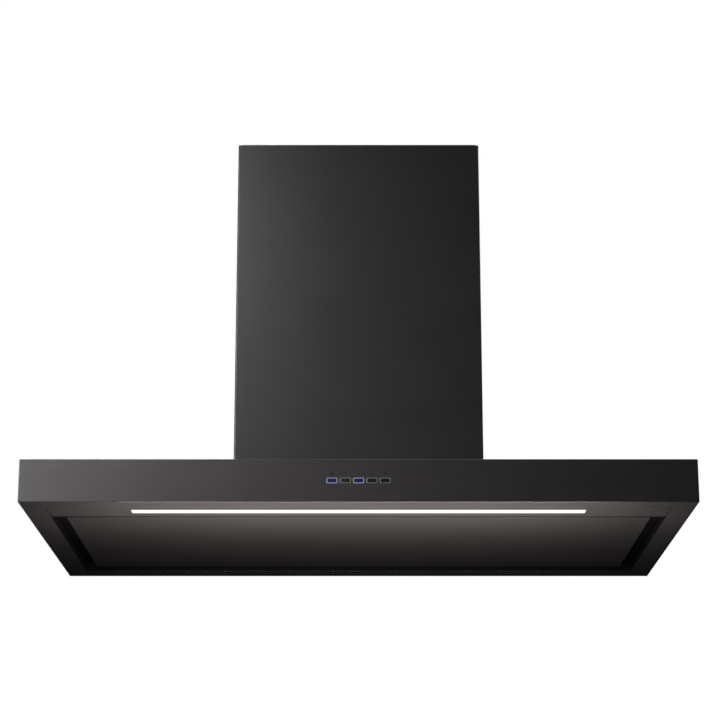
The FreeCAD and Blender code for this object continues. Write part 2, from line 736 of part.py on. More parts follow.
def height_clamp_bolts():
    """Eight bolts that run in the upper posts' slots and clamp the lower posts to them."""
    pieces = []
    inner = LOWER_OUT[0] - ANGLE_T
    outer = POST_OUT[0] + 0.2
    for z in CLAMP_Z:
        for y in (-CLAMP_Y, CLAMP_Y):
            start = inner - NUT_H - 2
            shank = rod(BOLT_R, Vector(start, y, z), X, outer + 2 - start)
            nut = hexagon(BOLT_HEX, Vector(inner - NUT_H, y, z), X, NUT_H)
            washer = rod(WASHER[0], Vector(outer, y, z), X, WASHER[1])
            head = hexagon(BOLT_HEX, Vector(outer + WASHER[1], y, z), X, HEAD_H - 0.2)
            pieces += both_sides(fuse([shank, nut, washer, head]))
    return Part.makeCompound(pieces)


def upper_braces():
    """Flat bars across the upper posts at the front and the rear."""
    bar = box(either_way(POST_OUT[0] - 2), (POST_OUT[1], POST_OUT[1] + BRACE_T[0]), UPPER_BRACE_Z)
    return Part.makeCompound([bar, bar.mirror(Vector(0, 0, 0), Y)])


def lower_braces():
    """Flat bars between the lower posts at the left and the right."""
    x = LOWER_OUT[0] - ANGLE_T
    return Part.makeCompound(
        both_sides(box((x - BRACE_T[1], x), either_way(LOWER_OUT[1] - ANGLE_T), LOWER_BRACE_Z))
    )


# ---- chimney ----
def sleeve(half, z):
    """Rectangular tube with bent corners."""
    outer = box(either_way(half[0]), either_way(half[1]), z)
    outer = outer.makeFillet(CHIMNEY_BEND_R, along(outer, Z))
    inner = box(either_way(half[0] - SHEET), either_way(half[1] - SHEET), shrunk(z, -OVER))
    inner = inner.makeFillet(CHIMNEY_BEND_R - SHEET, along(inner, Z))
    return outer.cut(inner)


def chimney_half(tube, side_y):
    """Front or rear half of a chimney tube."""
    far = CHIMNEY_D
    keep = (-far, -SEAM) if side_y < 0 else (SEAM, far)
    return tube.common(box(either_way(CHIMNEY_W), keep, (-TOTAL_H, OVER)))


def seam_tongues(half_x, z):
    """Strips behind the side seams, welded to the front half."""
    return both_sides(box((half_x - 2 * SHEET, half_x - SHEET), either_way(TONGUE_HALF_W), z))


def upper_screw_axes():
    """Inner ends of the screws that hold the upper chimney to the ceiling plate."""
    y, z = CHIMNEY_SCREW
    starts = []
    for side_y in (-y, y):
        starts.append(Vector(UPPER_HALF[0] - 7, side_y, z))
        starts.append(Vector(-UPPER_HALF[0] - 5, side_y, z))
    return starts


def upper_chimney(side_y):
    """Half of the inner chimney, with air louvres near its top."""
    tube = sleeve(UPPER_HALF, (-UPPER_CHIMNEY_L, -1))
    slots = [rod(SCREW_HOLE_R, start, X, 12) for start in upper_screw_axes()]
    for index in range(LOUVRES):
        y = LOUVRE_START + LOUVRE_PITCH * index
        for side, row in four_corners(UPPER_HALF[0], y):
            slots.append(box(span(side, 6), span(row, LOUVRE_W), LOUVRE_Z))
    half = chimney_half(cut(tube, slots), side_y)
    if side_y > 0:
        return half
    return fuse([half] + seam_tongues(UPPER_HALF[0], (-UPPER_CHIMNEY_L + 5, -PLATE_SKIRT - 3)))


def lower_chimney(side_y):
    """Half of the outer chimney, with a foot flange on the canopy."""
    tube = sleeve(LOWER_HALF, (TOP, -CEILING_GAP))
    rim = (LOWER_HALF[0] - SHEET / 2, LOWER_HALF[1] - SHEET / 2)
    foot = box(either_way(rim[0]), either_way(rim[1]), (TOP, TOP + SHEET))
    foot = foot.makeFillet(CHIMNEY_BEND_R, along(foot, Z))
    inset = SHEET + FOOT_W
    drill_z = (TOP - OVER, TOP + SHEET + OVER)
    foot = foot.cut(box(either_way(LOWER_HALF[0] - inset), either_way(LOWER_HALF[1] - inset), drill_z))
    holes = [
        rod(SCREW_HOLE_R, Vector(x, y, drill_z[0]), Z, SHEET + 2 * OVER) for x, y in foot_screw_places()
    ]
    half = chimney_half(cut(fuse([tube, foot]), holes), side_y)
    if side_y > 0:
        return half
    return fuse([half] + seam_tongues(LOWER_HALF[0], (TOP + 7, -CEILING_GAP - 5)))


def upper_chimney_screws():
    """Four pan-head screws through the upper chimney into the ceiling plate's skirt."""
    pieces = []
    y, z = CHIMNEY_SCREW
    for side_y in (-y, y):
        shank = rod(SCREW_R, Vector(UPPER_HALF[0] - 7, side_y, z), X, 7)
        head = rod(SCREW_HEAD_R, Vector(UPPER_HALF[0], side_y, z), X, 1.8)
        pieces += both_sides(fuse([shank, head]))
    return Part.makeCompound(pieces)


def chimney_foot_screws():
    """Screws from below through the canopy's top into the lower chimney's foot."""
    pieces = []
    for x, y in foot_screw_places():
        shank = rod(SCREW_R, Vector(x, y, TOP - 2 * SHEET), Z, 6)
        head = rod(SCREW_HEAD_R, Vector(x, y, TOP - SHEET - 2.5), Z, 2.5)
        pieces.append(fuse([shank, head]))
    return Part.makeCompound(pieces)


# ---- blower ----
def scroll_outline(inset):
    """Closed spiral in the YZ plane, its neck open upwards past the blower box."""
    first = SCROLL_R - inset
    second = first + SCROLL_STEP
    third = second + SCROLL_STEP
    top = BOX_TOP + 2
    right = WHEEL_Y + SCROLL_STEP + third
    left_neck = NECK_IN_Y + inset
    roof = WHEEL_Z + first
    shelf = left_neck - TONGUE_R - inset
    tongue_centre = (shelf, roof + TONGUE_R + inset)

    def arc(cy, cz, radius, start, end):
        """Arc of the YZ plane between two angles from +Y towards +Z."""
        turns = [math.radians(a) for a in (start, (start + end) / 2, end)]
        points = [Vector(0, cy + radius * math.cos(a), cz + radius * math.sin(a)) for a in turns]
        return Part.Arc(*points).toShape()

    def line(a, b):
        """Straight edge of the YZ plane."""
        return Part.LineSegment(Vector(0, *a), Vector(0, *b)).toShape()

    edges = [
        arc(WHEEL_Y, WHEEL_Z, first, 90, 180),
        arc(WHEEL_Y + SCROLL_STEP, WHEEL_Z, second, 180, 270),
        arc(WHEEL_Y + SCROLL_STEP, WHEEL_Z + SCROLL_STEP, third, 270, 360),
        line((right, WHEEL_Z + SCROLL_STEP), (right, top)),
        line((right, top), (left_neck, top)),
        line((left_neck, top), (left_neck, tongue_centre[1])),
        arc(tongue_centre[0], tongue_centre[1], TONGUE_R + inset, 0, -90),
        line((shelf, roof), (WHEEL_Y, roof)),
    ]
    return Part.Face(Part.Wire(edges))


def scroll_half(side):
    """Half of the volute with its side plate and inlet ring."""
    outer = scroll_outline(0).extrude(X * SCROLL_HALF)
    inner = scroll_outline(SCROLL_T).extrude(X * (SCROLL_HALF - SCROLL_T))
    inner.translate(Vector(-0.01, 0, 0))
    mouth_y = shrunk((NECK_IN_Y, NECK_OUT_Y), SCROLL_T)
    mouth = box((-OVER, SCROLL_HALF - SCROLL_T), mouth_y, (BOX_TOP - 4, BOX_TOP + 3))
    centre = Vector(SCROLL_HALF - SCROLL_T, WHEEL_Y, WHEEL_Z)
    depth = SCROLL_T + INLET_LIP
    lip = rod(INLET_R + INLET_FLARE + SCROLL_T, centre, X, depth)
    throat = Part.makeCone(INLET_R, INLET_R + INLET_FLARE, depth, centre, X)
    body = cut(fuse([cut(outer, [inner, mouth]), lip]), [throat, rod(INLET_R, centre - X, X, 4)])
    return body if side > 0 else mirror_x(body)


def wheel_centre():
    """Middle of the blower wheel."""
    return Vector(0, WHEEL_Y, WHEEL_Z)


def rod_between(radius, ends):
    """Cylinder on the wheel's axis between two X limits."""
    return rod(radius, wheel_centre() + X * ends[0], X, ends[1] - ends[0])


def impeller():
    """Double-inlet blower wheel on its motor shaft."""
    disc = rod_between(WHEEL_R - 1, span(0, WHEEL_DISC_T))
    boss = rod_between(WHEEL_BOSS[0], either_way(WHEEL_BOSS[1]))
    shaft = rod_between(SHAFT_R, SHAFT_X)
    ring = rod_between(WHEEL_R, (WHEEL_HALF_L - WHEEL_RING_T, WHEEL_HALF_L))
    ring = ring.cut(rod_between(WHEEL_R - WHEEL_RING_W, either_way(WHEEL_R)))
    blade = box(either_way(WHEEL_HALF_L), either_way(BLADE_T / 2), (WHEEL_IN_R, WHEEL_R - 0.5))
    blade.rotate(Vector(0, 0, WHEEL_R), X, BLADE_TILT)
    blade.translate(Vector(0, 0, -1.4))
    blades = []
    for index in range(BLADES):
        copy = blade.copy()
        copy.rotate(Vector(0, 0, 0), X, index * 360 / BLADES)
        copy.translate(wheel_centre())
        blades.append(copy)
    return fuse([disc, boss, shaft] + both_sides(ring) + blades)


def motor():
    """Motor in the wheel's left half, with its shaft bore."""
    body = rod_between(MOTOR_R, MOTOR_X)
    body = body.makeFillet(MOTOR_EDGE_R, [e for e in body.Edges if e.Curve.TypeId == "Part::GeomCircle"])
    boss = rod_between(MOTOR_BOSS_R, MOTOR_BOSS_X)
    vents = []
    for index in range(MOTOR_VENTS):
        slot = box((MOTOR_X[0] - OVER, MOTOR_X[0] + 3), span(0, VENT_W), VENT_R)
        slot.rotate(Vector(0, 0, 0), X, (index + 0.5) * 360 / MOTOR_VENTS)
        slot.translate(wheel_centre())
        vents.append(slot)
    bore = rod_between(SHAFT_R + RUNNING_GAP, shrunk((MOTOR_BOSS_X[0], MOTOR_BOSS_X[1]), -10))
    return cut(fuse([body, boss]), vents + [bore])


def motor_bracket():
    """Ring round the motor with three arms to the inlet side of the scroll."""
    inside, outside, tip = BRACKET_R
    width, thick = BRACKET_ARM
    end = BRACKET_X[1]
    ring = rod_between(outside, BRACKET_X).cut(rod_between(inside, shrunk(BRACKET_X, -OVER)))
    arms = []
    for index in range(3):
        arm = box((end - thick, end), span(0, width), (outside - 1, tip))
        leg = box((end - thick, -SCROLL_HALF), span(0, width), (tip - thick, tip))
        limb = fuse([arm, leg])
        limb.rotate(Vector(0, 0, 0), X, index * 120 + 60)
        limb.translate(wheel_centre())
        arms.append(limb)
    return fuse([ring] + arms)


def capacitor():
    """Motor capacitor in a clip on the blower box's right wall."""
    x = BOX_HALF[0] + CAPACITOR_PLACE[0]
    y, foot = CAPACITOR_PLACE[1:]
    can = rod(CAPACITOR_R, Vector(x, y, foot), Z, CAPACITOR_L)
    can = can.makeFillet(1.5, [e for e in can.Edges if e.Curve.TypeId == "Part::GeomCircle"])
    clip = box((BOX_HALF[0], x), span(y, 12), (foot + 18, foot + 38))
    top = foot + CAPACITOR_L
    tabs = [box(span(x, 1), span(y + s * 7, 6), (top - 1, top + 9)) for s in (-1, 1)]
    return fuse([can, clip] + tabs)


def neck_hole(z):
    """Tool for the scroll's neck through a sheet."""
    return box(span(0, 2 * (SCROLL_HALF + NECK_GAP)), shrunk((NECK_IN_Y, NECK_OUT_Y), -NECK_GAP), z)


def blower_box():
    """Casing round the scroll, open downwards over the canopy's opening."""
    half_x, half_y = BOX_HALF
    casing = tray(either_way(half_x), either_way(half_y), (TOP, BOX_TOP), SHEET, up=False)
    flange = box(either_way(half_x + BOX_FLANGE), either_way(half_y + 2), (TOP, TOP + SHEET))
    inside = box(either_way(half_x - SHEET), either_way(half_y - SHEET), (TOP - OVER, TOP + SHEET + OVER))
    return cut(fuse([casing, flange.cut(inside)]), [neck_hole((BOX_TOP - 3, BOX_TOP + OVER))])


def round_wire(radius, z):
    """Circle round the duct axis in four arcs that start at the corners' directions."""
    centre = Vector(0, DUCT_Y, z)
    arcs = []
    for quarter in range(4):
        turns = [math.radians(45 + 90 * quarter + step) for step in (0, 45, 90)]
        points = [centre + Vector(radius * math.cos(a), radius * math.sin(a), 0) for a in turns]
        arcs.append(Part.Arc(*points).toShape())
    return Part.Wire(arcs)


def neck_wire(margin, z):
    """Rectangle round the scroll's neck, starting at its right rear corner."""
    x = SCROLL_HALF + margin
    y = shrunk((NECK_IN_Y, NECK_OUT_Y), -margin)
    corners = [(x, y[1]), (-x, y[1]), (-x, y[0]), (x, y[0]), (x, y[1])]
    return Part.makePolygon([Vector(a, b, z) for a, b in corners])


def outlet_adaptor():
    """Flanged transition from the scroll's rectangular neck to the round collar."""
    low, high = BOX_TOP, COLLAR_Z[0]
    inside, outside = ADAPTOR_MARGIN
    outer = Part.makeLoft([neck_wire(outside, low), round_wire(DUCT_R, high)], True, True)
    inner = Part.makeLoft([neck_wire(inside, low), round_wire(DUCT_R - DUCT_T, high)], True, True)
    reach_x = either_way(SCROLL_HALF + 16)
    reach_y = shrunk((NECK_IN_Y, NECK_OUT_Y), -ADAPTOR_FLANGE)
    flange = box(reach_x, reach_y, (low, low + ADAPTOR_FLANGE_T))
    return fuse([outer.cut(inner), flange.cut(neck_hole((low - OVER, low + ADAPTOR_FLANGE_T + OVER)))])


def outlet_collar():
    """Round duct collar with stops for the non-return flaps."""
    base = Vector(0, DUCT_Y, COLLAR_Z[0])
    height = COLLAR_Z[1] - COLLAR_Z[0]
    tube = rod(DUCT_R, base, Z, height).cut(rod(DUCT_R - DUCT_T, base - Z * OVER, Z, height + 2 * OVER))
    stops = []
    for turn in STOP_TURNS:
        stop = box((STOP_R, DUCT_R - 0.5), span(0, STOP_W), (FLAP_Z + STOP_Z[0], FLAP_Z + STOP_Z[1]))
        stop.rotate(Vector(0, 0, 0), Z, turn)
        stop.translate(Vector(0, DUCT_Y, 0))
        stops.append(stop)
    return fuse([tube] + stops).cut(flap_rod())


def flap_rod():
    """Rod across the collar that both flaps turn on."""
    half = DUCT_R - ROD_SEAT
    return rod(FLAP_ROD_R, Vector(-half, DUCT_Y, FLAP_Z), X, 2 * half)


def damper_flap(side_y):
    """Half-disc flap with knuckles on the rod; the two flaps' knuckles alternate."""
    disc = rod(FLAP_R, Vector(0, 0, FLAP_Z - FLAP_T), Z, FLAP_T)
    disc = disc.common(box(either_way(DUCT_R), (FLAP_EDGE, DUCT_R), span(FLAP_Z, 6)))
    pieces = [disc]
    for x in KNUCKLE_X[side_y]:
        pieces.append(rod(KNUCKLE_R, Vector(x, 0, FLAP_Z), X, KNUCKLE_L))
        pieces.append(box((x, x + KNUCKLE_L), (FLAP_ROD_R, FLAP_EDGE + 2.4), (FLAP_Z - FLAP_T, FLAP_Z)))
    bore = rod(FLAP_ROD_R + RUNNING_GAP, Vector(-DUCT_R, 0, FLAP_Z), X, 2 * DUCT_R)
    flap = fuse(pieces).cut(bore)
    if side_y < 0:
        flap = flap.mirror(Vector(0, 0, 0), Y)
    flap.translate(Vector(0, DUCT_Y, 0))
    return flap


# ---- electrics ----
def electronics_box():
    """Plastic box on the blower box's left wall, open at its outer side."""
    wide = either_way(E_BOX_HALF_Y)
    outer = box(E_BOX_X, wide, E_BOX_Z)
    outer = outer.makeFillet(E_BOX_R, along(outer, X))
    inner_x = (E_BOX_X[0] - OVER, E_BOX_X[1] - E_BOX_T)
    inner = box(inner_x, shrunk(wide, E_BOX_T), shrunk(E_BOX_Z, E_BOX_T))
    posts = [
        rod(E_POST_R, Vector(E_BOX_X[1] - 1, y, z), X * -1, E_POST_L) for y in E_POST_Y for z in E_POST_Z
    ]
    hole = rod(GLAND_THREAD_R, Vector(GLAND_X, 0, E_BOX_Z[1] - E_BOX_T - 2), Z, E_BOX_T + 4)
    return cut(fuse([outer.cut(inner)] + posts), [hole])


def electronics_lid():
    """Ribbed cover of the electronics box."""
    face = E_BOX_X[0] - E_BOX_T
    lid = box((face, E_BOX_X[0]), either_way(E_BOX_HALF_Y), E_BOX_Z)
    lid = lid.makeFillet(E_BOX_R, along(lid, X))
    ribs = []
    for index in range(LID_RIBS):
        z = LID_RIB_Z + LID_RIB_PITCH * (index - LID_RIBS // 2)
        ribs.append(box((face - 1, face), E_POST_Y, span(z, 2)))
    return fuse([lid] + ribs)


def power_board():
    """Mains board with its transformer, relays and terminal block."""
    face = E_BOX_X[1] - 1 - E_POST_L
    root = face - BOARD_T + 0.1
    board = box((face - BOARD_T, face), (-60, 60), (-632, -520))
    transformer = box((face - 30, root), (-52, -18), (-622, -586))
    terminals = box((face - 18, root), (0, 50), (-626, -612))
    smoother = rod(7, Vector(root, 40, -560), X * -1, 22)
    relays = []
    for index in range(RELAYS):
        relays.append(box((face - 17, root), span(-45 + RELAY_PITCH * index, RELAY_W), (-580, -562)))
    return fuse([board, transformer, terminals, smoother] + relays)


def cable_gland():
    """Gland for the mains lead on top of the electronics box."""
    z = E_BOX_Z[1]
    below = z - E_BOX_T - 4
    shank = rod(GLAND_THREAD_R, Vector(GLAND_X, 0, below), Z, z - below)
    nut = hexagon(GLAND_HEX, Vector(GLAND_X, 0, z), Z, GLAND_NUT_H)
    radius, height = GLAND_DOME
    top = z + GLAND_NUT_H + height
    dome = rod(radius, Vector(GLAND_X, 0, z + GLAND_NUT_H), Z, height)
    dome = dome.makeFillet(3.0, [e for e in dome.Edges if near(e.BoundBox.ZMin, top)])
    back_nut = hexagon(GLAND_HEX, Vector(GLAND_X, 0, below), Z, 4)
    bore = rod(LEAD_R, Vector(GLAND_X, 0, below - OVER), Z, top - below + 2 * OVER)
    return fuse([shank, nut, dome, back_nut]).cut(bore)


# ---- controls ----
def button_places():
    """X of each button, left to right."""
    return [(i - 2) * BUTTON_PITCH for i in range(len(BUTTON_NAMES))]


def control_housing():
    """Plastic housing behind the buttons, open to the front face."""
    width, height, depth = HOUSING
    y = (FACE_Y + SHEET, FACE_Y + SHEET + depth)
    block = box(span(0, width), y, span(BUTTON_Z, height))
    hollow_y = (y[0] - OVER, y[1] - HOUSING_T)
    hollow = box(span(0, width - 2 * HOUSING_T), hollow_y, span(BUTTON_Z, height - 2 * HOUSING_T))
    post_y = (BUTTON_BOARD_Y + BOARD_T, y[1] - 1)
    posts = [box(span(x, 6), post_y, span(BUTTON_Z, 10)) for x in either_way(width / 2 - 6)]
    return fuse([block.cut(hollow)] + posts)


def control_board():
    """Button board with five small switches."""
    y = BUTTON_BOARD_Y
    back = y + BOARD_T
    board = box(span(0, CONTROL_BOARD[0]), (y, back), span(BUTTON_Z, CONTROL_BOARD[1]))
    pieces = [board, box(span(0, CHIP[0]), (back - 0.1, back - 0.1 + CHIP[2]), span(BUTTON_Z, CHIP[1]))]
    for x in button_places():
        pieces.append(box(span(x, SWITCH), (SWITCH_Y, y + 0.5), span(BUTTON_Z, SWITCH)))
    return fuse(pieces)


def button_ring(x):
    """Light-guide ring round one button, with a rim behind the canopy's face."""
    ring = rounded(RING_OUT, (FACE_Y - RING_PROUD, FACE_Y + RING_DEPTH), x)
    front = edges_where(ring, lambda p: near(p.y, FACE_Y - RING_PROUD))
    ring = ring.makeFillet(0.25, front)
    rim = rounded(RING_RIM, (FACE_Y + SHEET, FACE_Y + SHEET + 1.3), x)
    hole = rounded(RING_IN, (FACE_Y - OVER, FACE_Y + RING_DEPTH + OVER), x)
    return fuse([ring, rim]).cut(hole)


def button_rings(lit):
    """The rings of the lit or of the unlit buttons."""
    chosen = [x for x, name in zip(button_places(), BUTTON_NAMES) if (name in LIT) == lit]
    return Part.makeCompound([button_ring(x) for x in chosen])


def button_cap(x):
    """Push cap with a retaining flange and a stem over its switch."""
    cap = rounded(CAP, (FACE_Y - CAP_PROUD, FACE_Y + CAP_DEPTH), x)
    cap = cap.makeFillet(0.4, edges_where(cap, lambda p: near(p.y, FACE_Y - CAP_PROUD)))
    flange = rounded(CAP_FLANGE, (FACE_Y + CAP_DEPTH - 0.5, FACE_Y + CAP_DEPTH + 1), x)
    stem = rod(STEM_R, Vector(x, FACE_Y + 8, BUTTON_Z), Y, STEM_END - 8)
    return fuse([cap, flange, stem])


# ---- every node ----
def all_nodes():
    """Name and shape of every piece."""
    nodes = {
        "ceiling_plate": ceiling_plate(),
        "upper_braces": upper_braces(),
        "ceiling_frame_bolts": ceiling_frame_bolts(),
        "upper_chimney_front": upper_chimney(-1),
        "upper_chimney_rear": upper_chimney(1),
        "upper_chimney_screws": upper_chimney_screws(),
        "canopy_shell": canopy_shell(),
        "light_panel": light_panel(),
        "led_profile": led_profile(),
        "led_board": led_board(),
        "led_diffuser": led_diffuser(),
        "led_driver": led_driver(),
        "filter_deck": filter_deck(),
        "lower_braces": lower_braces(),
        "height_clamp_bolts": height_clamp_bolts(),
        "lower_frame_bolts": lower_frame_bolts(),
        "lower_chimney_front": lower_chimney(-1),
        "lower_chimney_rear": lower_chimney(1),
        "chimney_foot_screws": chimney_foot_screws(),
        "blower_box": blower_box(),
        "scroll_left": scroll_half(-1),
        "scroll_right": scroll_half(1),
        "motor": motor(),
        "motor_bracket": motor_bracket(),
        "capacitor": capacitor(),
        "impeller": impeller(),
        "outlet_adaptor": outlet_adaptor(),
        "outlet_collar": outlet_collar(),
        "flap_rod": flap_rod(),
        "damper_flap_front": damper_flap(-1),
        "damper_flap_rear": damper_flap(1),
        "electronics_box": electronics_box(),
        "electronics_lid": electronics_lid(),
        "power_board": power_board(),
        "cable_gland": cable_gland(),
        "control_housing": control_housing(),
        "control_board": control_board(),
        "button_rings_lit": button_rings(True),
        "button_rings_unlit": button_rings(False),
        "panel_hinge_pins": panel_hinge_pins(),
        "panel_magnets": panel_magnets(),
        "suction_panel": suction_panel(),
    }
    for side, name in ((-1, "left"), (1, "right")):
        nodes["grease_filter_" + name] = grease_filter(side)
        nodes["filter_latch_" + name] = filter_latch(side)
        for side_y, place in ((-1, "front"), (1, "rear")):
            nodes["upper_post_" + place + "_" + name] = upper_post(side, side_y)
            nodes["lower_post_" + place + "_" + name] = lower_post(side, side_y)
    for x, name in zip(button_places(), BUTTON_NAMES):
        nodes["button_" + name] = button_cap(x)
    return nodes


def write_parts(nodes):
    """One STEP file per node."""
    os.makedirs("parts", exist_ok=True)
    for name, shape in nodes.items():
        shape.exportStep("parts/" + name + ".step")
        print(name, len(shape.Solids), "valid" if shape.isValid() else "NOT VALID", round(shape.Volume))


write_parts(all_nodes())
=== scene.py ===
"""Looks of a slim island range hood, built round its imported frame."""

import json
import logging
import math
from abc import ABC, abstractmethod
from collections.abc import Iterable, Sequence
from dataclasses import dataclass
from enum import Enum
from functools import cache

import bmesh
import bpy
from mathutils import Matrix, Vector

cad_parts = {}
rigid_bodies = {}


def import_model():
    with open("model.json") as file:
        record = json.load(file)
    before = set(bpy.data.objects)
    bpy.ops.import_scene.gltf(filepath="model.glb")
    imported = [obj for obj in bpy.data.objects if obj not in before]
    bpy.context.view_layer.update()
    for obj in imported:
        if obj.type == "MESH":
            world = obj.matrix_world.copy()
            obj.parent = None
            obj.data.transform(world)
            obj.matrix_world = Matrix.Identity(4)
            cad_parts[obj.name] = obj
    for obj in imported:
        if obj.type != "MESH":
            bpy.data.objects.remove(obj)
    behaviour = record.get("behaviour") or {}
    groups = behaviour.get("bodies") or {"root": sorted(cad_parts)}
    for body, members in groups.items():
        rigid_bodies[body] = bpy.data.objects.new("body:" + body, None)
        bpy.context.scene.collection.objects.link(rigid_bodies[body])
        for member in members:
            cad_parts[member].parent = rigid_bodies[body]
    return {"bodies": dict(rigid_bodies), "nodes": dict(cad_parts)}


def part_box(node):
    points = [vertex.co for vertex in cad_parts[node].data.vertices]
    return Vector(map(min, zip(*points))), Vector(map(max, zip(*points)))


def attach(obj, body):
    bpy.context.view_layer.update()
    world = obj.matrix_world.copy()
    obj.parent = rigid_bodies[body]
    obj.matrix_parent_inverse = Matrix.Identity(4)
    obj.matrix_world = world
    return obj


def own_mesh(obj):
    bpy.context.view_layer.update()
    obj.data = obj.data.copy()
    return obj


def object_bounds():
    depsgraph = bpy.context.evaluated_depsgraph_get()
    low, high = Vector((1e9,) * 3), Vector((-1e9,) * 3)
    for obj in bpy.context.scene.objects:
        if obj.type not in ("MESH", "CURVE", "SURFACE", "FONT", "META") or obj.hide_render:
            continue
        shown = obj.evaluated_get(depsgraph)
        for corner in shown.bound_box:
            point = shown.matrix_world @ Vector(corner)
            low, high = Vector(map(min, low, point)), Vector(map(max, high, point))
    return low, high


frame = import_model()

Point = tuple[float, float, float]
Colour = tuple[float, float, float]
Socket = bpy.types.NodeSocket

CAD_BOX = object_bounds()
MM = 0.001
SIDES = ("left", "right")
EVEN: Point = (1.0, 1.0, 1.0)
FINE_EDGE = 0.0003
log = logging.getLogger("range_hood")


class Axis(Enum):
    """An axis of the frame, with its unit direction."""

    X = (1.0, 0.0, 0.0)
    Y = (0.0, 1.0, 0.0)
    Z = (0.0, 0.0, 1.0)

    @property
    def unit(self) -> Vector:
        """The axis as a vector."""
        return Vector(self.value)


class Body(Enum):
    """The moving bodies that pieces ride on."""

    CEILING = "ceiling_frame"
    HOOD = "hood"
    PANEL = "suction_panel"
    FLAP_FRONT = "damper_flap_front"
    FLAP_REAR = "damper_flap_rear"


class Slot(Enum):
    """The record's material slots."""

    BLACK = "black_paint"
    GALVANISED = "galvanised"
    ZINC = "zinc_bolts"
    PLASTIC = "dark_plastic"
    FILTER = "filter_mesh"
    BUTTON = "button_black"
    MOTOR = "motor_paint"
    COLLAR = "collar_plastic"


